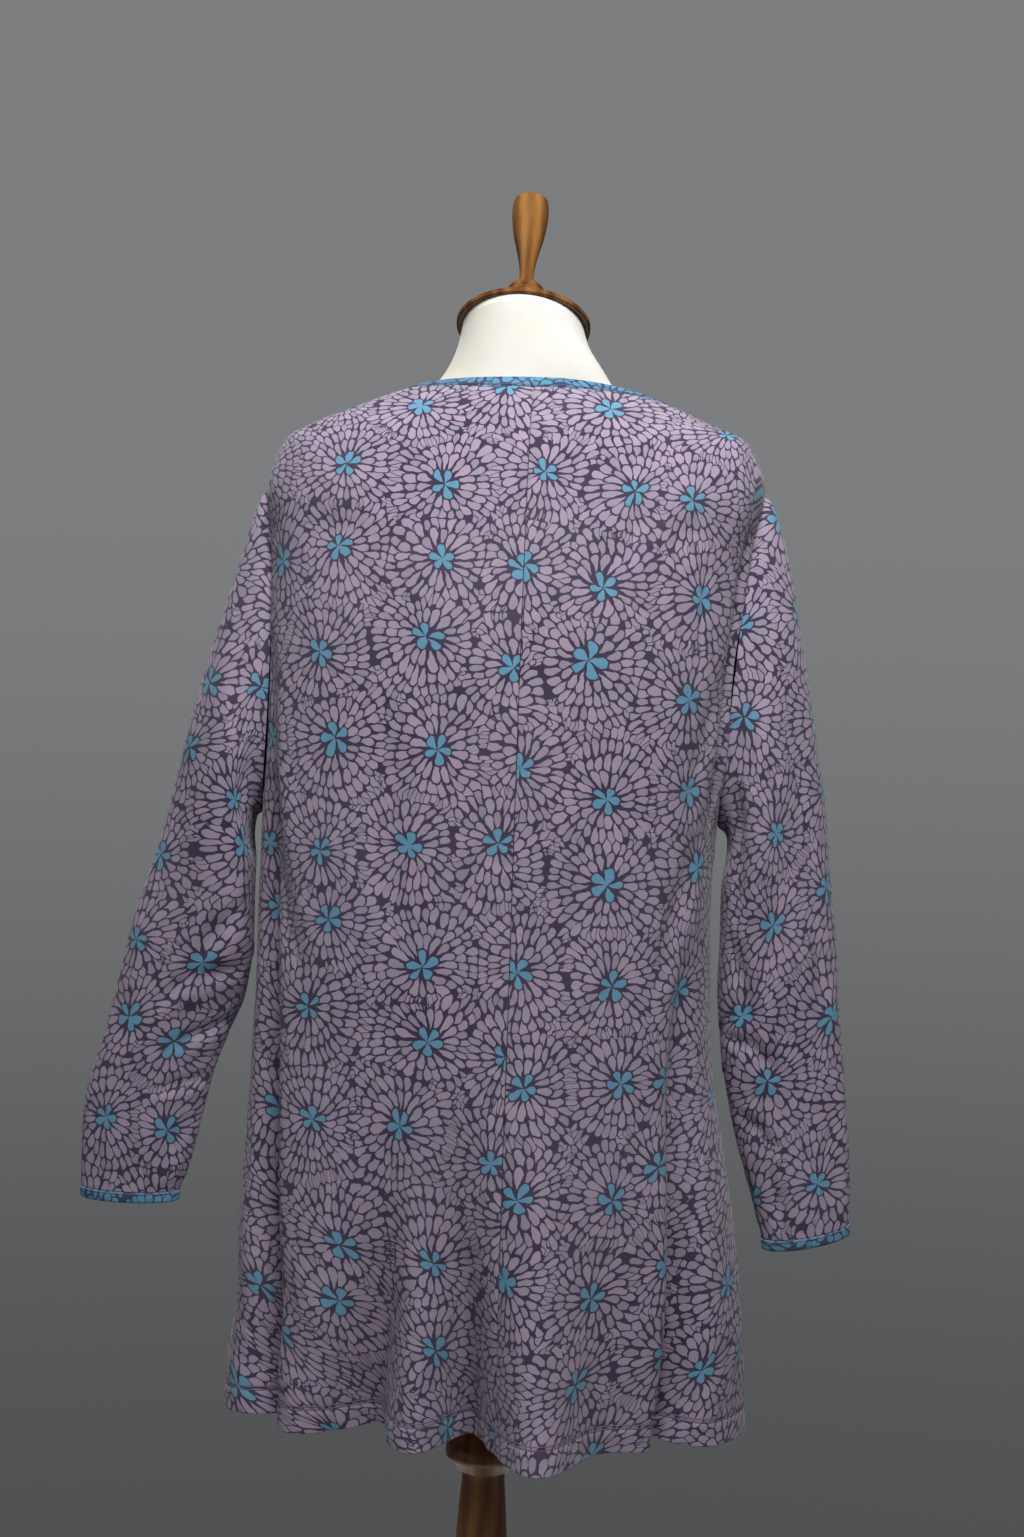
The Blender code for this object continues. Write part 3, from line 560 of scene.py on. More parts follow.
def side_allowance(levels):
    """How far a panel's side edge stands back from the side, in degrees, along the armhole."""
    reach = np.clip(1.0 - ((levels - ARMHOLE_MIDDLE) / ARMHOLE_HALF) ** 2, 0.0, None)
    return ARMHOLE_HALF_ANGLE * np.sqrt(reach)


def sleeve_ring(table, side, around, row):
    """One ring of a sleeve at a row of its table. around runs from the outer fold by the front."""
    keys = np.arange(len(table["outer_x"]), dtype=float)
    at = {name: float(through(keys, values, row)) for name, values in table.items()}
    outer_fold = np.array([at["outer_x"], at["mid_y"], at["outer_z"]])
    inner_fold = np.array([at["inner_x"], at["mid_y"], at["inner_z"]])
    middle = (outer_fold + inner_fold) / 2
    across = (outer_fold - inner_fold) / 2
    forwards = np.array([0.0, -at["half_depth"], at["back_drop"] / 2])
    section = middle + across * np.cos(around)[:, None] + forwards * np.sin(around)[:, None]
    start = np.array([(table["outer_x"][0] + table["inner_x"][0]) / 2, 0.0,
                      (table["outer_z"][0] + table["inner_z"][0]) / 2])
    tip_angle, tip_level = armhole_line(around)
    in_angle, in_level = armhole_line(around, shrink=INSIDE_SHARE)
    edge = body_point(side * (90.0 + tip_angle), tip_level)
    inside = body_point(side * (90.0 + in_angle), in_level)
    hole = edge + unit(inside - edge) * SEAM_GAP + middle - start
    share = ease(row / ARMHOLE_FADE)
    return hole + (section - hole) * share


def facing(points, closed, away_from):
    """The outward direction of a grid of points."""
    if closed:
        across = np.roll(points, -1, axis=1) - np.roll(points, 1, axis=1)
    else:
        across = np.gradient(points, axis=1)
    outward = unit(np.cross(across, np.gradient(points, axis=0)))
    if ((points - away_from) * outward).sum() < 0.0:
        outward = -outward
    return outward


def waves(across, down, seed, longest, height):
    """The small uneven waves of hanging cloth, made up of many weak ones."""
    chance = np.random.default_rng(seed)
    total = np.zeros_like(across)
    for _ in range(WAVE_COUNT):
        length = longest * chance.uniform(0.22, 1.0)
        heading = chance.uniform(-0.9, 0.9)
        phase = chance.uniform(0.0, 2 * math.pi)
        along = across * math.cos(heading) + down * math.sin(heading) * 0.6
        total += length / longest * np.cos(2 * math.pi * along / length + phase)
    return total * height / 4.0


def crease_path(values, whole_turn=False):
    """A crease's angles and rows along its length, its width and its depth."""
    start, start_row, end, end_row, bow, width, depth = values
    if whole_turn:
        start, end = start % 360.0, end % 360.0
    share = np.linspace(0.0, 1.0, CREASE_POINTS)
    turn = start + (end - start) * share + bow * np.sin(math.pi * share)
    return turn, start_row + (end_row - start_row) * share, width, depth


def crease(points, outward, line, width, depth):
    """A trough with a low ridge beside it, along a line of points on the cloth."""
    flat = points.reshape(-1, 3)
    nearest = np.full(len(flat), 1e9)
    along = np.zeros(len(flat))
    beside = np.zeros(len(flat))
    normals = outward.reshape(-1, 3)
    for i, (start, end) in enumerate(zip(line, line[1:])):
        run = end - start
        share = np.clip(((flat - start) @ run) / (run @ run), 0.0, 1.0)
        off = flat - (start + share[:, None] * run)
        away = np.linalg.norm(off, axis=1)
        closer = away < nearest
        nearest[closer] = away[closer]
        along[closer] = ((i + share) / (len(line) - 1))[closer]
        turned = np.cross(normals, unit(run))
        beside[closer] = np.einsum("ij,ij->i", turned, off)[closer]
    taper = np.sin(math.pi * np.clip(along, 0.0, 1.0)) ** 0.6
    wide = width * (0.55 + 0.45 * taper)
    trough = -bell(nearest, wide)
    ridge = 0.45 * bell(beside - 1.9 * wide, 1.1 * wide) * (nearest < 5 * wide)
    fade = taper * np.where((along <= 0.0) | (along >= 1.0), 0.0, 1.0)
    return (depth * fade * (trough + ridge)).reshape(points.shape[:2])


def edge_columns(length, middle_count):
    """Places along a row of cloth, closer together beside the seams at its two ends."""
    near = np.array(SEAM_COLUMNS)
    inner = np.linspace(near[-1], length - near[-1], middle_count + 2)[1:-1]
    return np.concatenate([near, inner, length - near[::-1]])


def seam_dip(from_edge):
    """How far the cloth is drawn in beside a seam."""
    return -sum(depth * bell(from_edge, reach) for depth, reach in SEAM_DIPS)


def body_rows():
    """The fine rows of a panel: levels down to the hem, then the turned-up part inside it."""
    top = SECTION["back_z"][0] - BINDING_WIDTH
    yoke = np.linspace(top, ARMHOLE_TOP, YOKE_ROWS)[:-1]
    hole = armhole_line(np.linspace(0.0, math.pi, ARMHOLE_ROWS))[1]
    skirt = np.linspace(ARMHOLE_BOTTOM, HEM_Z + 0.0235, SKIRT_ROWS)[1:]
    outside = np.concatenate([yoke, hole, skirt, HEM_Z + np.array(HEM_ROWS_OUTSIDE)])
    levels = np.concatenate([outside, HEM_Z + np.array(HEM_ROWS_INSIDE)])
    sunk = np.full(len(levels), WALL)
    sunk[:len(outside)] = 0.0
    sunk[len(outside)] = HEM_ROLL
    return levels, sunk


def panel_columns(piece, levels):
    """In each row of a panel: its columns' angles, their places along it, and its length."""
    allowance = side_allowance(levels)
    middle = np.zeros_like(levels)
    starts, ends = {
        "front": (90.0 + allowance, 270.0 - allowance),
        "back_left": (middle, 90.0 - allowance),
        "back_right": (allowance - 90.0, middle),
    }[piece]
    angles, places, lengths = [], [], []
    dense = np.linspace(0.0, 1.0, 500)
    for level, start, end in zip(levels, starts, ends):
        fine = start + (end - start) * dense
        steps = np.linalg.norm(np.diff(body_point(fine, level), axis=0), axis=1)
        run = np.concatenate([[0.0], np.cumsum(steps)])
        places.append(edge_columns(run[-1], PANEL_COLUMNS[piece]))
        angles.append(np.interp(places[-1], run, fine))
        lengths.append(run[-1])
    return np.array(angles), np.array(places), np.array(lengths)[:, None]


@lru_cache(maxsize=None)
def panel_surface(piece, height):
    """Points, outward directions and layout of a body panel, hem turned up."""
    levels, sunk = body_rows()
    angles, places, lengths = panel_columns(piece, levels)
    points = body_point(angles, levels[:, None])
    outside = int((sunk == 0.0).sum())
    outward = facing(points[:outside], False, np.array([CENTRE_X, 0.0, 1.0]))
    beside = [int(np.argmin(np.abs(levels[:outside] - level))) for level in levels[outside:]]
    outward = np.concatenate([outward, outward[beside]])
    across = {"front": places - lengths / 2, "back_left": places}.get(piece, places - lengths)
    layout = body_layout(points, across, levels)
    turned = sunk[:, None] > 0.0
    height_up = points[..., 2]
    rise = height_up - HEM_Z
    layout[..., 1] = np.where(turned, HEM_Z - rise, layout[..., 1])

    calm = ease((CALM_TOP - levels) / CALM_REACH)[:, None]
    moved = waves(across, height_up, BODY_SEED, BODY_WAVE, height)
    moved = moved * (CALM_SHARE + (1.0 - CALM_SHARE) * calm)
    for values in BODY_CREASES:
        turn, rows, width, depth = crease_path(values, whole_turn=piece == "front")
        moved += crease(points, outward, body_point(turn, rows), width, depth)
    from_edge = np.minimum(places, lengths - places)
    pucker = PUCKER_HEIGHT * np.sin(height_up / PUCKER_STEP + 2.0 * np.sin(height_up * 90.0))
    moved += pucker * bell(from_edge, PUCKER_REACH) * (1.0 - bell(from_edge, 0.003))
    free = ease((ON_FORM_Z - height_up) / 0.03)
    shallow = SHALLOW_SHARE + (1.0 - SHALLOW_SHARE) * free
    moved = np.where(moved < 0.0, moved * shallow, moved)
    moved += seam_dip(from_edge)
    for line in HEM_STITCH_ROWS:
        moved -= CHANNEL_DEPTH * bell(rise - line, CHANNEL_REACH) * ~turned
    moved += HEM_STEP * ease((HEM_STEP_TOP - rise) / 0.0012) * ~turned
    wave = np.sin(across / HEM_WAVE_STEP + 3.0 * np.sin(across * 31.0))
    moved += HEM_WAVE * ease(1.0 - rise / HEM_WAVE_TOP) * wave
    points = points + outward * moved[..., None] - outward * sunk[:, None, None]
    return points, outward, layout


def body_layout(points, across, levels):
    """Where each point of a panel lies on the flat cloth, in metres."""
    layout = np.stack([across, points[..., 2]], axis=-1)
    ring = int(np.argmin(np.abs(levels - LAYOUT_ROW)))
    reference = points[ring]
    order = np.argsort(reference[:, 0])
    xs = reference[order, 0]
    for row in range(ring):
        here = points[row]
        layout[row, :, 0] = np.interp(here[:, 0], xs, across[ring][order])
        ref_y = np.interp(here[:, 0], xs, reference[order, 1])
        ref_z = np.interp(here[:, 0], xs, reference[order, 2])
        rise = here[:, 2] - ref_z
        layout[row, :, 1] = ref_z + rise + 0.5 * np.abs(ref_y - here[:, 1])
    return layout


@lru_cache(maxsize=None)
def sleeve_surface(piece, height, columns):
    """Points, outward directions and layout of a sleeve, from its armhole to its cuff."""
    table, side, creases = SLEEVES[piece]
    around = np.linspace(0.0, 2 * math.pi, columns, endpoint=False)
    rows = np.concatenate([
        SLEEVE_TOP_ROWS, np.linspace(0.16, SLEEVE_END - 0.10, SLEEVE_ROWS), SLEEVE_LAST_ROWS,
    ])
    points = np.stack([sleeve_ring(table, side, around, row) for row in rows])
    outward = facing(points, True, points.mean(axis=1, keepdims=True))

    looped = np.concatenate([points, points[:, :1]], axis=1)
    down = np.linalg.norm(np.diff(looped, axis=0), axis=-1)
    run = np.concatenate([np.zeros((1, columns + 1)), np.cumsum(down, axis=0)])
    rise = run[-1] - run
    half = columns // 2
    order = np.arange(half, half + columns + 1) % columns
    opened = points[:, order]
    rise = rise[:, order]
    steps = np.linalg.norm(np.diff(opened, axis=1), axis=-1)
    flat_steps = np.sqrt(np.maximum(steps**2 - np.diff(rise, axis=1) ** 2, (0.35 * steps) ** 2))
    reach = np.concatenate([np.zeros((len(rows), 1)), np.cumsum(flat_steps, axis=1)], axis=1)
    reach -= reach[:, -1:] / 2
    layout = np.stack([reach, rise], axis=-1)

    moved = waves(layout[:, :-1, 0], layout[:, :-1, 1], SLEEVE_SEEDS[piece], SLEEVE_WAVE, height)
    moved = np.roll(moved, half, axis=1)
    for values in creases:
        turn, at, width, depth = crease_path(values)
        turn = np.radians(turn)[:, None]
        line = np.concatenate([sleeve_ring(table, side, *place) for place in zip(turn, at)])
        moved += crease(points, outward, line, width, depth)
    from_top = run[:, :-1]
    fade = ease(from_top / 0.03) * ease((run[-1, :-1] - from_top) / 0.015)
    moved = moved * fade + seam_dip(from_top)
    points = points + outward * moved[..., None]
    return points, outward, layout, half


def new_object(name, vertices, faces, layout, surfaces):
    """A mesh object with its corners' layout on the flat cloth as its UV map."""
    mesh = bpy.data.meshes.new(name)
    mesh.from_pydata(vertices, [], faces)
    uv = mesh.uv_layers.new(name="cloth_layout")
    uv.data.foreach_set("uv", np.asarray(layout, np.float32).ravel())
    for surface in surfaces:
        mesh.materials.append(surface)
    mesh.shade_smooth()
    obj = bpy.data.objects.new(name, mesh)
    bpy.context.scene.collection.objects.link(obj)
    return obj


def corners_of(grid):
    """The four corners of each cell of a grid, in order round the cell."""
    return [grid[:-1, :-1], grid[1:, :-1], grid[1:, 1:], grid[:-1, 1:]]


def grid_mesh(node, points, corners, places, surfaces):
    """A cloth object from its grid's corners and their places on the flat cloth."""
    faces = np.stack(corners, axis=-1).reshape(-1, 4)
    loops = np.stack(places, axis=-2).reshape(-1, 2) + np.array(LAYOUT[node])
    return new_object("cloth_" + node, points.reshape(-1, 3), faces, loops, surfaces)


def cloth_piece(name, points, layout, surfaces, closed=False, seam_at=0):
    """A sheet of cloth from a grid of points. A closed one is joined at column seam_at."""
    rows, columns = points.shape[:2]
    index = np.arange(rows * columns).reshape(rows, columns)
    if closed:
        order = np.arange(seam_at, seam_at + columns + 1) % columns
        index = index[:, order]
    corners, places = corners_of(index), corners_of(layout)
    first = points.reshape(-1, 3)[[corners[i][0, 0] for i in (0, 1, 3)]]
    normal = np.cross(first[1] - first[0], first[2] - first[0])
    inside = points[0].mean(axis=0) if closed else np.array([CENTRE_X, 0.0, first[0][2]])
    if normal @ (first[0] - inside) < 0.0:
        corners.reverse()
        places.reverse()
    obj = grid_mesh(name, points, corners, places, surfaces)
    thick = obj.modifiers.new("cloth thickness", "SOLIDIFY")
    thick.thickness = CLOTH
    thick.offset = -1.0
    thick.material_offset = 1
    thick.use_rim = True
    thick.use_even_offset = False
    return obj


def flat_size(obj):
    """The flat cut's width, length and area, read from the layout."""
    mesh = obj.data
    places = np.empty(len(mesh.loops) * 2, np.float32)
    mesh.uv_layers[0].data.foreach_get("uv", places)
    places = places.reshape(-1, 4, 2).astype(float)
    across = places[:, 2] - places[:, 0]
    other = places[:, 3] - places[:, 1]
    area = np.abs(across[:, 0] * other[:, 1] - across[:, 1] * other[:, 0]).sum() / 2
    size = places.reshape(-1, 2).max(axis=0) - places.reshape(-1, 2).min(axis=0)
    return (float(size[0]), float(size[1])), float(area)


def declare(obj, node):
    """Hides the CAD part that a piece stands for and hangs the piece on the root body."""
    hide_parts(node)
    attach(obj, "root")


def declare_cloth(obj, node):
    """Hides the part a cut piece stands for, hangs it on the root, and reads its flat size, which
    isn't used.
    """
    declare(obj, node)
    flat, area = flat_size(obj)


def join(tree, socket, value):
    """Links a socket to another, or sets its value."""
    if isinstance(value, bpy.types.NodeSocket):
        tree.links.new(value, socket)
    else:
        socket.default_value = value


def reckon(tree, operation, *values):
    """A Math node's result."""
    node = tree.nodes.new("ShaderNodeMath")
    node.operation = operation
    for socket, value in zip(node.inputs, values):
        join(tree, socket, value)
    return node.outputs[0]


def vector_of(tree, operation, *values, output=0):
    """A Vector Math node's result."""
    node = tree.nodes.new("ShaderNodeVectorMath")
    node.operation = operation
    for socket, value in zip(node.inputs, values):
        join(tree, socket, value)
    return node.outputs[output]


def scaled(tree, vector, factor):
    """A vector or colour made longer or brighter by a factor."""
    node = tree.nodes.new("ShaderNodeVectorMath")
    node.operation = "SCALE"
    join(tree, node.inputs[0], vector)
    join(tree, node.inputs["Scale"], factor)
    return node.outputs[0]


def texture(tree, kind, vector, output, settings=None, **inputs):
    """A texture node's output."""
    node = tree.nodes.new(kind)
    for name, value in (settings or {}).items():
        setattr(node, name, value)
    join(tree, node.inputs["Vector"], vector)
    for name, value in inputs.items():
        join(tree, node.inputs[name.replace("_", " ")], value)
    return node.outputs[output]


def noise(tree, place, scale, detail, flat=False, **inputs):
    """Cloudy noise, on a flat cloth or all through a piece."""
    return texture(tree, "ShaderNodeTexNoise", place, "Fac",
                   {"noise_dimensions": "2D" if flat else "3D"},
                   Scale=scale, Detail=detail, **inputs)


def bands(tree, place, direction, scale, distortion, **inputs):
    """Wavy bands across one direction."""
    return texture(tree, "ShaderNodeTexWave", place, "Fac",
                   {"wave_type": "BANDS", "bands_direction": direction},
                   Scale=scale, Distortion=distortion, **inputs)


def chances(tree, x, y, z):
    """Three random numbers for a place."""
    return split(tree, texture(tree, "ShaderNodeTexWhiteNoise", gather(tree, x, y, z), "Color",
                               {"noise_dimensions": "3D"}))


def blend_colour(tree, share, first, second):
    """One colour mixed into another."""
    node = tree.nodes.new("ShaderNodeMix")
    node.data_type = "RGBA"
    node.clamp_factor = True
    join(tree, node.inputs["Factor"], share)
    join(tree, node.inputs[6], first)
    join(tree, node.inputs[7], second)
    return node.outputs[2]


def soft_step(tree, value, low, high, to_low=0.0, to_high=1.0):
    """Eases from one value to another as the input passes from low to high."""
    node = tree.nodes.new("ShaderNodeMapRange")
    node.interpolation_type = "SMOOTHSTEP"
    join(tree, node.inputs["Value"], value)
    join(tree, node.inputs["From Min"], low)
    join(tree, node.inputs["From Max"], high)
    join(tree, node.inputs["To Min"], to_low)
    join(tree, node.inputs["To Max"], to_high)
    return node.outputs["Result"]


def split(tree, vector):
    """A vector's three numbers."""
    node = tree.nodes.new("ShaderNodeSeparateXYZ")
    join(tree, node.inputs[0], vector)
    return node.outputs


def gather(tree, x, y, z=0.0):
    """A vector from three numbers."""
    node = tree.nodes.new("ShaderNodeCombineXYZ")
    for socket, value in zip(node.inputs, (x, y, z)):
        join(tree, socket, value)
    return node.outputs[0]


def colour(values):
    """An opaque colour."""
    return (*values, 1.0)


def toned(values, factor):
    """A colour made lighter or darker by a factor."""
    return [value * factor for value in values]


def petal_group(ring_step):
    """A node group: the petal of one ring of a burst that lies nearest to a point.

    Reach is 1 on the petal's edge and less inside it. Ring 0 is the flower.
    """
    group = bpy.data.node_groups.new("nearest_petal", "ShaderNodeTree")
    for name, kind in (("Point", "Vector"), ("Centre", "Vector"), ("Chance", "Vector"),
                       ("Neighbour", "Vector"), ("Outer", "Float")):
        group.interface.new_socket(name, in_out="INPUT", socket_type="NodeSocket" + kind)
    group.interface.new_socket("Petal", in_out="OUTPUT", socket_type="NodeSocketVector")
    given = group.nodes.new("NodeGroupInput").outputs
    result = group.nodes.new("NodeGroupOutput").inputs

    offset = vector_of(group, "SUBTRACT", given["Point"], given["Centre"])
    away = vector_of(group, "LENGTH", offset, output=1)
    place = split(group, offset)
    turn = reckon(group, "ARCTAN2", place[1], place[0])
    steps = reckon(group, "SUBTRACT", reckon(group, "DIVIDE", away, ring_step), FIRST_RING)
    ring = reckon(group, "MAXIMUM", reckon(group, "FLOOR", steps), 0.0)
    ring = reckon(group, "ADD", ring, given["Outer"])
    ring_place = reckon(group, "ADD", ring, FIRST_RING)

    chance = split(group, vector_of(group, "MULTIPLY", given["Chance"], (61.0, 61.0, 61.0)))
    ring_chance = chances(group, chance[0], chance[1], ring)
    count = reckon(group, "MULTIPLY_ADD", ring_place, PETALS_PER_TURN,
                   reckon(group, "MULTIPLY", ring_chance[0], 0.75))
    outside = reckon(group, "MINIMUM", ring, 1.0)
    count = reckon(group, "MULTIPLY_ADD", reckon(group, "SUBTRACT", count, FLOWER_PETALS), outside,
                   FLOWER_PETALS)
    count = reckon(group, "ROUND", count)
    full = 2 * math.pi
    phase = reckon(group, "MULTIPLY", ring_chance[1], full)
    turns = reckon(group, "DIVIDE", reckon(group, "ADD", turn, phase), full)
    spot = reckon(group, "MULTIPLY", turns, count)
    whole = reckon(group, "ROUND", spot)
    number = reckon(group, "FLOORED_MODULO", whole, count)
    aside = reckon(group, "SUBTRACT", spot, whole)
    petal_chance = chances(group, reckon(group, "ADD", chance[0], ring), chance[1], number)

    aside = reckon(group, "ADD", aside, reckon(
        group, "MULTIPLY", reckon(group, "SUBTRACT", petal_chance[1], 0.5), 0.14))
    spread = reckon(group, "DIVIDE", reckon(group, "MULTIPLY", aside, full), count)
    stray = reckon(group, "MULTIPLY", reckon(group, "SUBTRACT", petal_chance[0], 0.5), 0.22)
    reach = reckon(group, "MULTIPLY", reckon(group, "ADD", ring_place, stray), ring_step)

    heading = reckon(group, "SUBTRACT", turn, spread)
    spoke = gather(group, reckon(group, "COSINE", heading), reckon(group, "SINE", heading))
    spot_on_cloth = vector_of(group, "ADD", given["Centre"], scaled(group, spoke, reach))
    to_other = vector_of(group, "DISTANCE", spot_on_cloth, given["Neighbour"], output=1)
    margin = reckon(group, "DIVIDE", reckon(group, "SUBTRACT", to_other, reach), ring_step)
    room = soft_step(group, margin, *SHRINK_NEAR)
    size = reckon(group, "MULTIPLY_ADD", petal_chance[2], 0.22, 0.88)
    size = reckon(group, "MULTIPLY", size, reckon(group, "MULTIPLY_ADD", room, 0.34, 0.66))

    beyond = reckon(group, "SUBTRACT",
                    reckon(group, "MULTIPLY", away, reckon(group, "COSINE", spread)), reach)
    beside = reckon(group, "MULTIPLY", away, reckon(group, "SINE", spread))
    short = soft_step(group, outside, 0.0, 1.0, FLOWER_SHORTNESS, 1.0)
    long = reckon(group, "MULTIPLY", reckon(group, "MULTIPLY", size, short),
                  PETAL_HALF_LENGTH * ring_step)
    slim = soft_step(group, outside, 0.0, 1.0, FLOWER_SLIMNESS, 1.0)
    wide = reckon(group, "MULTIPLY", reckon(group, "MULTIPLY", size, slim),
                  PETAL_HALF_WIDTH * ring_step)
    up = reckon(group, "DIVIDE", beyond, long)
    taper = reckon(group, "MAXIMUM", reckon(group, "MULTIPLY_ADD", up, 0.48, 0.64), 0.14)
    over = reckon(group, "DIVIDE", beside, reckon(group, "MULTIPLY", wide, taper))
    edge = reckon(group, "SQRT", reckon(group, "ADD", reckon(group, "MULTIPLY", up, up),
                                        reckon(group, "MULTIPLY", over, over)))
    gone = reckon(group, "MULTIPLY", reckon(group, "LESS_THAN", room, LEAST_ROOM), OUT_OF_REACH)
    edge = reckon(group, "ADD", edge, gone)
    join(group, result["Petal"], gather(group, edge, ring, petal_chance[2]))
    return group


def print_group(pitch, ring_step):
    """A node group: the petal print at a place on the flat cloth.

    Petal and Flower are masks, Chance is a random number for each petal.
    """
    petal = petal_group(ring_step)
    group = bpy.data.node_groups.new("petal_print", "ShaderNodeTree")
    group.interface.new_socket("Place", in_out="INPUT", socket_type="NodeSocketVector")
    for name in ("Petal", "Flower", "Chance"):
        group.interface.new_socket(name, in_out="OUTPUT", socket_type="NodeSocketFloat")
    given = group.nodes.new("NodeGroupInput").outputs
    result = group.nodes.new("NodeGroupOutput").inputs

    place = given["Place"]
    for scale, reach in PRINT_DRIFTS:
        drift = texture(group, "ShaderNodeTexNoise", given["Place"], "Color",
                        {"noise_dimensions": "2D"}, Scale=scale, Detail=1.0)
        drift = vector_of(group, "MULTIPLY", vector_of(group, "SUBTRACT", drift, (0.5, 0.5, 0.5)),
                          (reach * 2, reach * 2, 0.0))
        place = vector_of(group, "ADD", place, drift)
    flat = vector_of(group, "MULTIPLY", place, (1.0, 1.0, 0.0))

    bursts = []
    for feature in ("F1", "F2"):
        node = group.nodes.new("ShaderNodeTexVoronoi")
        node.voronoi_dimensions = "2D"
        node.feature = feature
        join(group, node.inputs["Vector"], flat)
        node.inputs["Scale"].default_value = 1.0 / pitch
        node.inputs["Randomness"].default_value = FLOWER_SCATTER
        bursts.append((node.outputs["Position"], node.outputs["Color"]))
    found = []
    for (centre, chance), (neighbour, _) in (bursts, bursts[::-1]):
        for outer in (0.0, 1.0):
            node = group.nodes.new("ShaderNodeGroup")
            node.node_tree = petal
            for name, value in (("Point", flat), ("Centre", centre), ("Chance", chance),
                                ("Neighbour", neighbour), ("Outer", outer)):
                join(group, node.inputs[name], value)
            found.append(node.outputs["Petal"])

    def either(choose, first, second):
        """The first petal where choose is 0, and the second where it is 1."""
        node = group.nodes.new("ShaderNodeMix")
        node.data_type = "VECTOR"
        join(group, node.inputs["Factor"], choose)
        join(group, node.inputs[4], first)
        join(group, node.inputs[5], second)
        return node.outputs[1]

    def burst(inner, outer):
        """One burst: each ring lies over the next one, with a dark line between them."""
        near, far = split(group, inner)[0], split(group, outer)[0]
        over = soft_step(group, near, *PETAL_EDGE, 1.0, 0.0)
        clear = soft_step(group, near, *RING_GAP)
        under = reckon(group, "MULTIPLY", soft_step(group, far, *PETAL_EDGE, 1.0, 0.0), clear)
        picked = either(reckon(group, "LESS_THAN", over, under), inner, outer)
        return reckon(group, "MAXIMUM", over, under), reckon(group, "MINIMUM", near, far), picked

    own, own_edge, own_petal = burst(found[0], found[1])
    other, other_edge, other_petal = burst(found[2], found[3])
    lead = reckon(group, "SUBTRACT", other_edge, own_edge)
    own = reckon(group, "MULTIPLY", own, soft_step(group, lead, *BURST_GAP))
    behind = reckon(group, "MULTIPLY", lead, -1.0)
    other = reckon(group, "MULTIPLY", other, soft_step(group, behind, *BURST_GAP))
    petal_here = either(reckon(group, "LESS_THAN", own, other), own_petal, other_petal)
    _, ring, chance = split(group, petal_here)[:3]
    join(group, result["Petal"], reckon(group, "MAXIMUM", own, other))
    join(group, result["Flower"], reckon(group, "LESS_THAN", ring, 0.5))
    join(group, result["Chance"], chance)
    return group


def surface_of(name):
    """A new material with its node tree and its shader."""
    made = bpy.data.materials.new(name)
    made.use_nodes = True
    return made, made.node_tree, made.node_tree.nodes["Principled BSDF"]


def bump(tree, height, depth, strength=1.0, normal=None):
    """Fine relief in the surface, over any relief given by normal."""
    node = tree.nodes.new("ShaderNodeBump")
    node.inputs["Strength"].default_value = strength
    node.inputs["Distance"].default_value = depth
    join(tree, node.inputs["Height"], height)
    if normal is not None:
        join(tree, node.inputs["Normal"], normal)
    return node.outputs[0]


def jersey(name, print_nodes, petals, pinker, flowers, ground, wrong_side=0.0):
    """Printed cotton jersey. The wrong side shows the print more weakly."""
    made, tree, shader = surface_of(name)
    place = tree.nodes.new("ShaderNodeUVMap")
    place.uv_map = "cloth_layout"
    place = place.outputs[0]
    node = tree.nodes.new("ShaderNodeGroup")
    node.node_tree = print_nodes
    join(tree, node.inputs[0], place)
    printed = node.outputs
    worn = noise(tree, place, WEAR, 3.0, flat=True)
    faded = noise(tree, place, FADING, 2.0, flat=True)
    fibre = noise(tree, place, FIBRES, 2.0, flat=True)
    slack = noise(tree, place, SLACK, 2.0, flat=True)

    tone = blend_colour(tree, soft_step(tree, printed["Chance"], 0.78, 1.00), colour(petals),
                        colour(pinker))
    tone = scaled(tree, tone, reckon(tree, "MULTIPLY_ADD", printed["Chance"], 0.22, 0.88))
    tone = blend_colour(tree, printed["Flower"], tone, colour(flowers))
    ink = reckon(tree, "MULTIPLY", printed["Petal"], soft_step(tree, worn, 0.20, 0.42, 0.86, 1.0))
    base = blend_colour(tree, ink, colour(ground), tone)
    base = blend_colour(tree, reckon(tree, "MULTIPLY", faded, 0.10), base, FADED_TONE)
    base = scaled(tree, base, soft_step(tree, fibre, 0.25, 0.75, 0.86, 1.14))
    base = blend_colour(tree, wrong_side, base, WRONG_SIDE_TONE)
    join(tree, shader.inputs["Base Color"], base)

    wales = bands(tree, place, "X", WALES, 1.2, Detail=1.0)
    courses = bands(tree, place, "Y", COURSES, 1.6, Detail=1.0)
    knit = reckon(tree, "MULTIPLY_ADD", courses, 0.6, wales)
    knit = reckon(tree, "MULTIPLY_ADD", fibre, 0.9, knit)
    normal = bump(tree, slack, 0.0010, 0.35)
    join(tree, shader.inputs["Normal"], bump(tree, knit, 0.00012, 0.6, normal))
    rough = reckon(tree, "MULTIPLY_ADD", fibre, 0.12, 0.84)
    join(tree, shader.inputs["Roughness"], rough)
    shader.inputs["Sheen Weight"].default_value = JERSEY_SHEEN
    shader.inputs["Sheen Roughness"].default_value = JERSEY_SHEEN_ROUGHNESS
    shader.inputs["Specular IOR Level"].default_value = JERSEY_GLOSS
    return made


def object_place(tree):
    """The place on a piece, in metres."""
    return tree.nodes.new("ShaderNodeTexCoord").outputs["Object"]


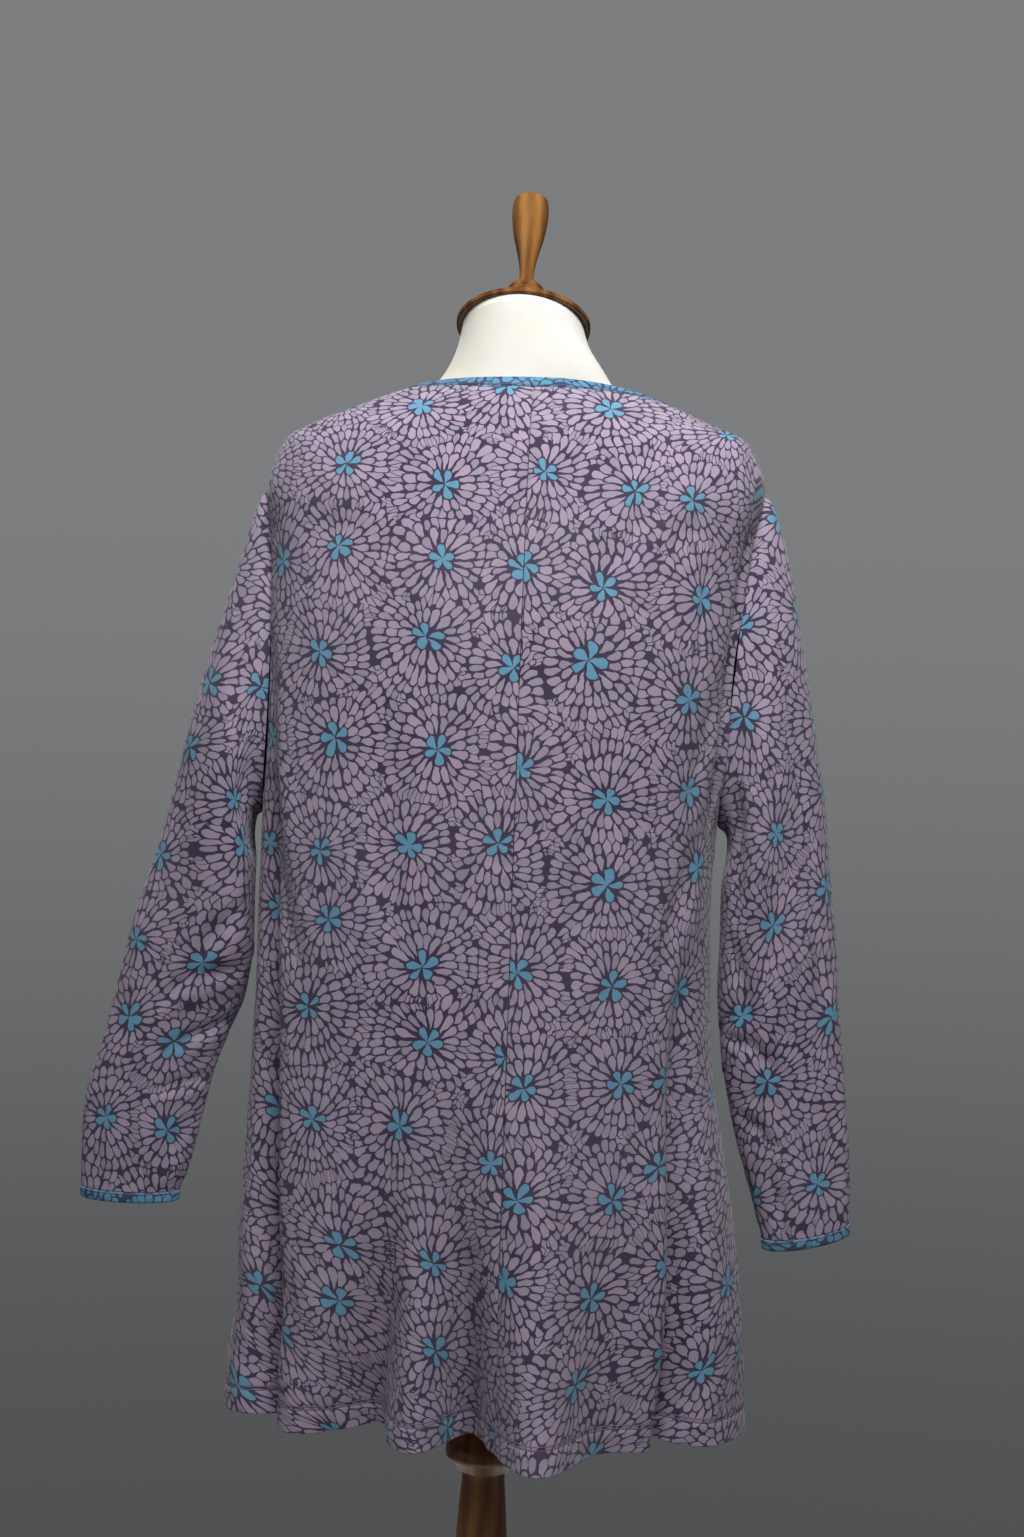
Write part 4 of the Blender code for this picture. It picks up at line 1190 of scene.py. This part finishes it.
def thread(name, thread_colour):
    """Matt sewing thread, with its twist."""
    made, tree, shader = surface_of(name)
    twist = noise(tree, object_place(tree), TWIST, 1.0)
    tone = blend_colour(tree, twist, colour(toned(thread_colour, 0.75)),
                        colour(toned(thread_colour, 1.3)))
    join(tree, shader.inputs["Base Color"], tone)
    join(tree, shader.inputs["Roughness"], reckon(tree, "MULTIPLY_ADD", twist, 0.2, 0.6))
    join(tree, shader.inputs["Normal"], bump(tree, twist, 0.0001))
    return made


def cover_cloth(name, cover_colour):
    """The form's cream cover: fine stretched cloth, a little yellowed in places."""
    made, tree, shader = surface_of(name)
    place = object_place(tree)
    stain = noise(tree, place, STAIN, 4.0)
    yellowed = colour([value * left for value, left in zip(cover_colour, YELLOWING)])
    base = blend_colour(tree, soft_step(tree, stain, 0.42, 0.78), colour(cover_colour), yellowed)
    weave = reckon(tree, "ADD", bands(tree, place, "Z", WEAVE, 0.6),
                   bands(tree, place, "X", WEAVE, 0.6))
    fine = scaled(tree, base, soft_step(tree, weave, 0.2, 1.8, 0.965, 1.0))
    join(tree, shader.inputs["Base Color"], fine)
    join(tree, shader.inputs["Normal"], bump(tree, weave, 0.00010, 0.5))
    join(tree, shader.inputs["Roughness"], reckon(tree, "MULTIPLY_ADD", stain, 0.10, 0.76))
    shader.inputs["Sheen Weight"].default_value = COVER_SHEEN
    return made


def varnished_wood(name, light, dark, tilt):
    """Turned hardwood under a glossy red-brown varnish. tilt is the lean of its grain."""
    made, tree, shader = surface_of(name)
    upright = object_place(tree)
    turned = tree.nodes.new("ShaderNodeMapping")
    join(tree, turned.inputs["Vector"], upright)
    turned.inputs["Rotation"].default_value = (math.radians(-tilt), 0.0, 0.0)
    turned.inputs["Scale"].default_value = (1.0, 1.0, WOOD_STRETCH)
    place = turned.outputs[0]
    cloud = noise(tree, place, WOOD_CLOUD, 4.0, Roughness=0.6, Distortion=1.4)
    grain = noise(tree, place, WOOD_GRAIN, 5.0, Roughness=0.7)
    rings = bands(tree, place, "X", WOOD_RINGS, 7.0, Detail=3.0, Detail_Scale=1.6)
    worn = noise(tree, place, WOOD_WEAR, 3.0)
    depth = reckon(tree, "MULTIPLY", cloud, 0.75)
    depth = reckon(tree, "MULTIPLY_ADD", rings, 0.28, depth)
    depth = reckon(tree, "MULTIPLY_ADD", grain, 0.22, depth)
    height = split(tree, upright)[2]
    depth = reckon(tree, "ADD", depth, soft_step(tree, height, *WOOD_PALES, -0.07, 0.13))
    middle = [a * 0.42 + b * 0.58 for a, b in zip(light, dark)]
    ramp = tree.nodes.new("ShaderNodeValToRGB")
    ramp.color_ramp.elements.new(0.58)
    stops = zip(ramp.color_ramp.elements, (0.34, 0.58, 0.86), (dark, middle, light))
    for stop, position, tone in stops:
        stop.position = position
        stop.color = colour(tone)
    join(tree, ramp.inputs[0], depth)
    join(tree, shader.inputs["Base Color"], ramp.outputs[0])
    join(tree, shader.inputs["Roughness"], soft_step(tree, worn, 0.3, 0.7, 0.34, 0.46))
    join(tree, shader.inputs["Normal"], bump(tree, grain, 0.0002, 0.25))
    shader.inputs["Coat Weight"].default_value = VARNISH_COAT
    shader.inputs["Coat Roughness"].default_value = VARNISH_ROUGHNESS
    return made


def deselect_all():
    """Leaves nothing selected, so that the next operator acts on its own piece alone."""
    for obj in bpy.context.selected_objects:
        obj.select_set(False)


def only(obj):
    """Makes obj the active object and the only selected one."""
    deselect_all()
    obj.select_set(True)
    bpy.context.view_layer.objects.active = obj


def fine_profile(profile):
    """A turner's profile with its curves drawn finely and its crisp edges kept."""
    points = [Vector((radius, height)) for radius, height in profile]
    drawn = []
    for i in range(len(points) - 1):
        start, end = points[i], points[i + 1]
        run = end - start

        def slope(at):
            """The tangent at a point, which is the chord's own beside a crisp edge."""
            if at in (0, len(points) - 1):
                return run
            before, after = points[at] - points[at - 1], points[at + 1] - points[at]
            if math.degrees(before.angle(after)) > CRISP_TURN:
                return run
            return (before.normalized() + after.normalized()).normalized() * run.length

        first, last = slope(i), slope(i + 1)
        pieces = max(1, min(8, round(run.length / 0.0012)))
        for step in range(pieces):
            t = step / pieces
            drawn.append(start * (2 * t**3 - 3 * t**2 + 1) + first * (t**3 - 2 * t**2 + t)
                         + end * (3 * t**2 - 2 * t**3) + last * (t**3 - t**2))
    drawn.append(points[-1])
    return drawn


def turn_on_lathe(name, profile, steps, surface, foot=(0.0, 0.0, 0.0), tilt=0.0):
    """Spins a profile about its axis, which leans forwards by tilt degrees from its foot."""
    deselect_all()
    bpy.ops.mesh.primitive_plane_add(size=0.01, location=(0.0, 0.0, 0.0))
    obj = bpy.context.active_object
    obj.name = name
    obj.data.name = name
    drawn = fine_profile(profile)
    shape = bmesh.new()
    spine = [shape.verts.new((0.0, 0.0, drawn[0].y))]
    spine += [shape.verts.new((point.x, 0.0, point.y)) for point in drawn]
    spine.append(shape.verts.new((0.0, 0.0, drawn[-1].y)))
    for lower, upper in zip(spine, spine[1:]):
        shape.edges.new((lower, upper))
    shape.to_mesh(obj.data)
    shape.free()
    bpy.ops.object.mode_set(mode="EDIT")
    bpy.ops.mesh.select_all(action="SELECT")
    bpy.ops.mesh.spin(steps=steps, angle=2 * math.pi, center=(0.0, 0.0, 0.0), axis=(0.0, 0.0, 1.0))
    bpy.ops.mesh.select_all(action="SELECT")
    bpy.ops.mesh.remove_doubles(threshold=0.00002)
    bpy.ops.mesh.normals_make_consistent(inside=False)
    bpy.ops.object.mode_set(mode="OBJECT")
    obj.data.transform(Matrix.Translation(foot) @ Matrix.Rotation(math.radians(tilt), 4, "X"))
    only(obj)
    bpy.ops.object.shade_smooth_by_angle(angle=math.radians(CRISP_TURN))
    obj.data.materials.append(surface)
    return obj


def on_neck(height):
    """A point that far up the leaning axis of the neck, above the neck's top."""
    lean = math.radians(NECK_TILT)
    return (0.0, -math.sin(lean) * height, NECK_TOP + math.cos(lean) * height)


def stitch_shape():
    """One stitch: a small rounded strand of thread, 1 long along X, to be copied."""
    deselect_all()
    bpy.ops.mesh.primitive_cylinder_add(
        vertices=6, radius=0.10, depth=0.72, end_fill_type="NGON", rotation=(0.0, math.pi / 2, 0.0))
    obj = bpy.context.active_object
    bpy.ops.object.transform_apply(location=True, rotation=True, scale=True)
    bpy.ops.object.mode_set(mode="EDIT")
    bpy.ops.mesh.select_mode(type="FACE")
    bpy.ops.mesh.select_all(action="DESELECT")
    bpy.ops.object.mode_set(mode="OBJECT")
    for face in obj.data.polygons:
        face.select = abs(face.normal.x) > 0.9
    bpy.ops.object.mode_set(mode="EDIT")
    bpy.ops.mesh.inset(thickness=0.045, depth=0.13, use_individual=True)
    bpy.ops.object.mode_set(mode="OBJECT")
    corners = np.array([vertex.co[:] for vertex in obj.data.vertices])
    faces = [tuple(face.vertices) for face in obj.data.polygons]
    bpy.data.objects.remove(obj, do_unlink=True)
    return corners, faces


def along_line(run, values, at):
    """Points or directions of a line, read at lengths along it."""
    return np.stack([np.interp(at, run, values[:, i]) for i in range(3)], axis=-1)


def sew(name, seams, length, thick, surface):
    """Stitches along lines of points on the cloth. Each seam is (points, outward directions)."""
    corners, faces = stitch_shape()
    vertices = []
    polygons = []
    for points, outward in seams:
        run = np.concatenate([[0.0], np.cumsum(np.linalg.norm(np.diff(points, axis=0), axis=1))])
        places = np.arange(length / 2, run[-1], length)
        middle = along_line(run, points, places)
        along = unit(along_line(run, points, places + length / 3)
                     - along_line(run, points, places - length / 3))
        up = unit(along_line(run, outward, places))
        beside = unit(np.cross(up, along))
        up = np.cross(along, beside)
        for i in range(len(places)):
            base = len(corners) * len(vertices)
            shaped = middle[i] + up[i] * thick * 0.25
            vertices.append(shaped + corners[:, :1] * length * along[i]
                            + corners[:, 1:2] * thick * STITCH_WIDENING * beside[i]
                            + corners[:, 2:] * thick * STITCH_WIDENING * up[i])
            polygons.extend(tuple(index + base for index in face) for face in faces)
    vertices = np.concatenate(vertices)
    layout = np.zeros((sum(len(face) for face in polygons), 2))
    return new_object(name, vertices, polygons, layout, [surface])


def settings():
    """The dress's, the form's and the stage's settings."""
    scene = bpy.context.scene
    return scene.dress_settings, scene.form_settings, scene.stage_settings


def cloth_surfaces():
    """The printed jersey's right and wrong sides, and the binding's right side."""
    dress = settings()[0]
    if "printed_jersey_right_side" not in bpy.data.materials:
        printed = print_group(dress.flower_pitch, dress.ring_step)
        body = (dress.petal_colour, dress.pink_colour, dress.flower_colour, dress.ground_colour)
        trim = (dress.binding_petal_colour, dress.binding_petal_colour,
                dress.binding_petal_colour, dress.binding_ground_colour)
        jersey("printed_jersey_right_side", printed, *body)
        jersey("printed_jersey_wrong_side", printed, *body, wrong_side=WRONG_SIDE_SHARE)
        jersey("binding_jersey_right_side", printed, *trim)
    found = bpy.data.materials
    return ((found["printed_jersey_right_side"], found["printed_jersey_wrong_side"]),
            found["binding_jersey_right_side"])


class DRESS_OT_body(bpy.types.Operator):
    """Cut and hang the front and the two halves of the back"""

    bl_idname = "dress.body"
    bl_label = "Back and front"

    def execute(self, context):
        dress = settings()[0]
        for piece in ("back_left", "back_right", "front"):
            points, _, layout = panel_surface(piece, dress.relief)
            obj = cloth_piece(piece, points, layout, cloth_surfaces()[0])
            declare_cloth(obj, piece)
        return {"FINISHED"}


class DRESS_OT_sleeves(bpy.types.Operator):
    """Cut and hang the two sleeves"""

    bl_idname = "dress.sleeves"
    bl_label = "Sleeves"

    def execute(self, context):
        dress = settings()[0]
        for piece in SLEEVES:
            points, _, layout, half = sleeve_surface(piece, dress.relief, dress.around_steps)
            obj = cloth_piece(piece, points, layout, cloth_surfaces()[0], closed=True, seam_at=half)
            declare_cloth(obj, piece)
        return {"FINISHED"}


def binding_piece(name, line, outward, down):
    """A folded strip bound round an edge: line is its upper edge, down its width at each point."""
    count = len(line)
    length = np.linalg.norm(np.roll(line, -1, axis=0) - line, axis=1)
    run = np.concatenate([[0.0], np.cumsum(length)])
    share = np.linspace(0.0, 1.0, BINDING_ROWS)
    swell = np.sin(math.pi * share) ** 0.5
    outer = (BINDING_WALL - WALL) / 2 + 0.0001 + BINDING_SWELL * (swell - 1.0)
    inner = outer.mean() - BINDING_WALL + BINDING_SWELL / 2 * (1.0 - swell)
    across = np.concatenate([share, share[::-1]])
    lift = np.concatenate([outer, inner[::-1]])
    ripple = BINDING_RIPPLE * np.sin(
        run[:-1] / BINDING_RIPPLE_STEP + 2.5 * np.sin(run[:-1] * 47.0))
    points = (line[:, None] + down[:, None] * across[None, :, None]
              + outward[:, None] * lift[None, :, None])
    points[:, :BINDING_ROWS] += outward[:, None] * (ripple[:, None] * swell[None, :])[..., None]
    ring = points.shape[1]
    index = np.arange(count * ring).reshape(count, ring)
    index = np.concatenate([index, index[:1]])
    index = np.concatenate([index, index[:, :1]], axis=1)
    wide = np.concatenate([share, 2.0 - share[::-1], [2.1]]) * np.linalg.norm(down, axis=1).mean()
    grid = np.stack(np.broadcast_arrays(run[:, None], wide[None, :]), axis=-1)
    obj = grid_mesh(name, points, corners_of(index), corners_of(grid), [cloth_surfaces()[1]])
    check = bmesh.new()
    check.from_mesh(obj.data)
    bmesh.ops.recalc_face_normals(check, faces=check.faces)
    check.to_mesh(obj.data)
    check.free()
    declare(obj, name)


def neck_edge(count=420):
    """The neck binding's upper edge, outward directions and width."""
    angles = np.linspace(0.0, 360.0, count, endpoint=False)
    top = SECTION["back_z"][0]
    levels = np.array([top, top - BINDING_WIDTH / 2, top - BINDING_WIDTH + SEAM_GAP])
    around, down = np.meshgrid(angles, levels)
    points = body_point(around, down)
    outward = facing(points, True, np.array([CENTRE_X, 0.0, 1.30]))[1]
    return points[0], outward, points[2] - points[0]


def cuff_edge(piece, count=220):
    """A cuff binding's upper edge, outward directions and width."""
    table, side, _ = SLEEVES[piece]
    around = np.linspace(0.0, 2 * math.pi, count, endpoint=False)
    rows = (SLEEVE_END, (SLEEVE_END + CUFF_END) / 2, CUFF_END)
    points = np.stack([sleeve_ring(table, side, around, row) for row in rows])
    outward = facing(points, True, points.mean(axis=1, keepdims=True))[1]
    down = points[2] - points[0]
    return points[0] + unit(down) * SEAM_GAP, outward, down * 0.98


class DRESS_OT_bindings(bpy.types.Operator):
    """Bind the neck and both cuffs"""

    bl_idname = "dress.bindings"
    bl_label = "Bindings"

    def execute(self, context):
        binding_piece("neck_binding", *neck_edge())
        for piece in SLEEVES:
            binding_piece(piece.replace("sleeve", "cuff_binding"), *cuff_edge(piece))
        return {"FINISHED"}


def line_at_height(points, outward, rise):
    """The line across the outside of a panel at that height above the hem."""
    levels, sunk = body_rows()
    row = int(np.argmin(np.abs(levels[sunk == 0.0] - (HEM_Z + rise))))
    return points[row] + outward[row] * 0.0001, outward[row]


class DRESS_OT_stitching(bpy.types.Operator):
    """Sew the twin-needle hem and the edges of the bindings"""

    bl_idname = "dress.stitching"
    bl_label = "Stitching"

    def execute(self, context):
        dress = settings()[0]
        surface = thread("sewing_thread", dress.thread_colour)
        seams = []
        for piece in ("back_left", "back_right", "front"):
            points, outward, _ = panel_surface(piece, dress.relief)
            for rise in HEM_STITCH_ROWS:
                seams.append(line_at_height(points, outward, rise))
        hem = sew("hem_stitching", seams, dress.stitch_length, HEM_THREAD, surface)
        seams = []
        edges = [(NECK_STITCH_SHARE, *neck_edge())]
        edges += [(CUFF_STITCH_SHARE, *cuff_edge(piece)) for piece in SLEEVES]
        for share, line, outward, down in edges:
            points = line + down * share + outward * (BINDING_WALL - WALL) / 2
            seams.append((np.concatenate([points, points[:1]]),
                          np.concatenate([outward, outward[:1]])))
        bound = sew("binding_stitching", seams, BINDING_STITCH, BINDING_THREAD, surface)
        for obj in (hem, bound):
            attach(obj, "root")
        return {"FINISHED"}


def keep_rims(mesh):
    """Marks the form's top and bottom edges, so that they stay crisp when it is smoothed."""
    shape = bmesh.new()
    shape.from_mesh(mesh)
    held = shape.edges.layers.float.new("crease_edge")
    for edge in shape.edges:
        if len(edge.link_faces) == 2 and edge.calc_face_angle() > RIM_TURN:
            edge[held] = 1.0
    shape.to_mesh(mesh)
    shape.free()


class DRESS_OT_form(bpy.types.Operator):
    """Cover the form's torso"""

    bl_idname = "dress.form"
    bl_label = "Form"

    def execute(self, context):
        form = settings()[1]
        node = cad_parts["torso"]
        obj = node.copy()
        obj.data = node.data.copy()
        obj.parent = None
        obj.name = "covered_torso"
        obj.data.name = "covered_torso"
        context.scene.collection.objects.link(obj)
        obj.data.transform(node.matrix_world)
        obj.matrix_world = Matrix.Identity(4)
        only(obj)
        bpy.ops.object.mode_set(mode="EDIT")
        bpy.ops.mesh.select_all(action="SELECT")
        bpy.ops.mesh.remove_doubles(threshold=0.00005)
        bpy.ops.mesh.tris_convert_to_quads(
            face_threshold=math.radians(60.0), shape_threshold=math.radians(75.0))
        bpy.ops.object.mode_set(mode="OBJECT")
        keep_rims(obj.data)
        obj.data.materials.clear()
        obj.data.materials.append(cover_cloth("form_cover_cloth", form.cover_colour))
        smooth = obj.modifiers.new("smooth", "SUBSURF")
        smooth.levels = 2
        smooth.render_levels = 2
        obj.data.shade_smooth()
        declare(obj, "torso")
        return {"FINISHED"}


class DRESS_OT_wood(bpy.types.Operator):
    """Turn the cap, finial, pole and base"""

    bl_idname = "dress.wood"
    bl_label = "Wood"

    def execute(self, context):
        form = settings()[1]
        leaning = varnished_wood("varnished_neck_wood", form.wood_light, form.wood_dark, NECK_TILT)
        # The stand's wood is painted lighter than the neck's: painted light for the shade the dress
        # casts on the pole
        upright = varnished_wood("varnished_stand_wood_painted_lighter", toned(form.wood_light, STAND_LIGHTEST_PAINTED_LIGHTER),
                                 toned(form.wood_dark, STAND_DARKEST_PAINTED_LIGHTER), 0.0)
        seat = on_neck(CAP_PROFILE[-1][1] + 2 * SEAT_GAP)
        turned = (
            ("neck_cap", CAP_PROFILE, leaning, on_neck(SEAT_GAP), NECK_TILT),
            ("finial", FINIAL_PROFILE, leaning, seat, NECK_TILT),
            ("pole", POLE_PROFILE, upright, (0.0, 0.0, 0.0), 0.0),
            ("base", BASE_PROFILE, upright, (0.0, 0.0, 0.0), 0.0),
        )
        for node, profile, surface, foot, tilt in turned:
            obj = turn_on_lathe("turned_" + node, profile, form.turning_steps, surface, foot, tilt)
            declare(obj, node)
        return {"FINISHED"}


def area_light(name, place, size, power, mirrored):
    """A square soft light, aimed at the middle of the dress."""
    data = bpy.data.lights.new(name, "AREA")
    data.shape = "SQUARE"
    data.size = size
    data.energy = power
    obj = bpy.data.objects.new(name, data)
    bpy.context.scene.collection.objects.link(obj)
    obj.location = place
    obj.rotation_euler = (Vector(LIGHTS_AIM) - Vector(place)).to_track_quat("-Z", "Y").to_euler()
    obj.visible_glossy = mirrored


def pale_floor(floor_colour):
    """The floor's paint, which fades out far from the object."""
    made, tree, shader = surface_of("pale_floor")
    place = object_place(tree)
    tone = blend_colour(tree, noise(tree, place, 3.0, 3.0), colour(toned(floor_colour, 0.97)),
                        colour(floor_colour))
    join(tree, shader.inputs["Base Color"], tone)
    shader.inputs["Roughness"].default_value = 0.85
    away = vector_of(tree, "LENGTH", place, output=1)
    join(tree, shader.inputs["Alpha"], soft_step(tree, away, *FLOOR_FADE, 1.0, 0.0))
    return made


def soft_surround(stage):
    """The weak light from all round, and the wall that the camera sees in its place."""
    world = bpy.data.worlds.new("surround")
    world.use_nodes = True
    tree = world.node_tree
    back = tree.nodes["Background"]
    heading = tree.nodes.new("ShaderNodeTexCoord").outputs["Generated"]
    wall = blend_colour(tree, soft_step(tree, split(tree, heading)[2], *WALL_SPAN),
                        colour(toned(stage.sky_colour, WALL_FOOT)), colour(stage.sky_colour))
    seen = tree.nodes.new("ShaderNodeLightPath").outputs["Is Camera Ray"]
    join(tree, back.inputs["Color"], wall)
    join(tree, back.inputs["Strength"], reckon(
        tree, "MULTIPLY_ADD", seen, WALL_BRIGHTNESS - stage.sky_strength, stage.sky_strength))
    return world


def view_camera(lens):
    """The camera behind the dress, turned a little about its own line of sight."""
    turn = math.radians(VIEW_AZIMUTH)
    outwards = Vector((math.sin(turn), -math.cos(turn), 0.0))
    data = bpy.data.cameras.new("camera")
    data.lens = lens
    data.sensor_width = 36.0
    data.sensor_fit = "AUTO"
    data.clip_start = 0.05
    camera = bpy.data.objects.new("camera", data)
    bpy.context.scene.collection.objects.link(camera)
    look = (-outwards).to_track_quat("-Z", "Y").to_matrix().to_4x4()
    roll = Matrix.Rotation(math.radians(VIEW_ROLL), 4, "Z")
    right = look.to_3x3() @ Vector((1.0, 0.0, 0.0))
    spot = outwards * VIEW_DISTANCE + Vector((0.0, 0.0, VIEW_Z)) + right * VIEW_SLIDE
    camera.matrix_world = Matrix.Translation(spot) @ look @ roll
    return camera


class DRESS_OT_stage(bpy.types.Operator):
    """Lay the floor, light the dress and set up the camera"""

    bl_idname = "dress.stage"
    bl_label = "Stage"

    def execute(self, context):
        stage = settings()[2]
        scene = context.scene
        deselect_all()
        bpy.ops.mesh.primitive_circle_add(vertices=96, radius=FLOOR_RADIUS, fill_type="NGON")
        floor = context.active_object
        floor.name = "floor"
        floor.data.materials.append(pale_floor(stage.floor_colour))
        scene.world = soft_surround(stage)
        for name, place, size, share, mirrored in LIGHTS:
            area_light(name, place, size, stage.key_power * share, mirrored)
        scene.view_settings.view_transform = "Standard"
        scene.camera = view_camera(stage.lens)
        return {"FINISHED"}


class DRESS_PT_panel(bpy.types.Panel):
    """The dress, its form and its stage"""

    bl_idname = "DRESS_PT_panel"
    bl_label = "Dress on a form"
    bl_space_type = "VIEW_3D"
    bl_region_type = "UI"
    bl_category = "Dress"

    def draw(self, context):
        for group in settings():
            box = self.layout.box()
            for name in group.__annotations__:
                box.prop(group, name)
        for operator in OPERATORS:
            self.layout.operator(operator.bl_idname)


OPERATORS = (DRESS_OT_form, DRESS_OT_wood, DRESS_OT_body, DRESS_OT_sleeves, DRESS_OT_bindings,
             DRESS_OT_stitching, DRESS_OT_stage)
CLASSES = (DressSettings, FormSettings, StageSettings, *OPERATORS, DRESS_PT_panel)


def register():
    for each in CLASSES:
        bpy.utils.register_class(each)
    bpy.types.Scene.dress_settings = PointerProperty(type=DressSettings)
    bpy.types.Scene.form_settings = PointerProperty(type=FormSettings)
    bpy.types.Scene.stage_settings = PointerProperty(type=StageSettings)


def unregister():
    del bpy.types.Scene.stage_settings
    del bpy.types.Scene.form_settings
    del bpy.types.Scene.dress_settings
    for each in reversed(CLASSES):
        bpy.utils.unregister_class(each)


def main():
    register()
    bpy.ops.dress.form()
    bpy.ops.dress.wood()
    bpy.ops.dress.body()
    bpy.ops.dress.sleeves()
    bpy.ops.dress.bindings()
    bpy.ops.dress.stitching()
    bpy.ops.dress.stage()


if __name__ == "__main__":
    main()
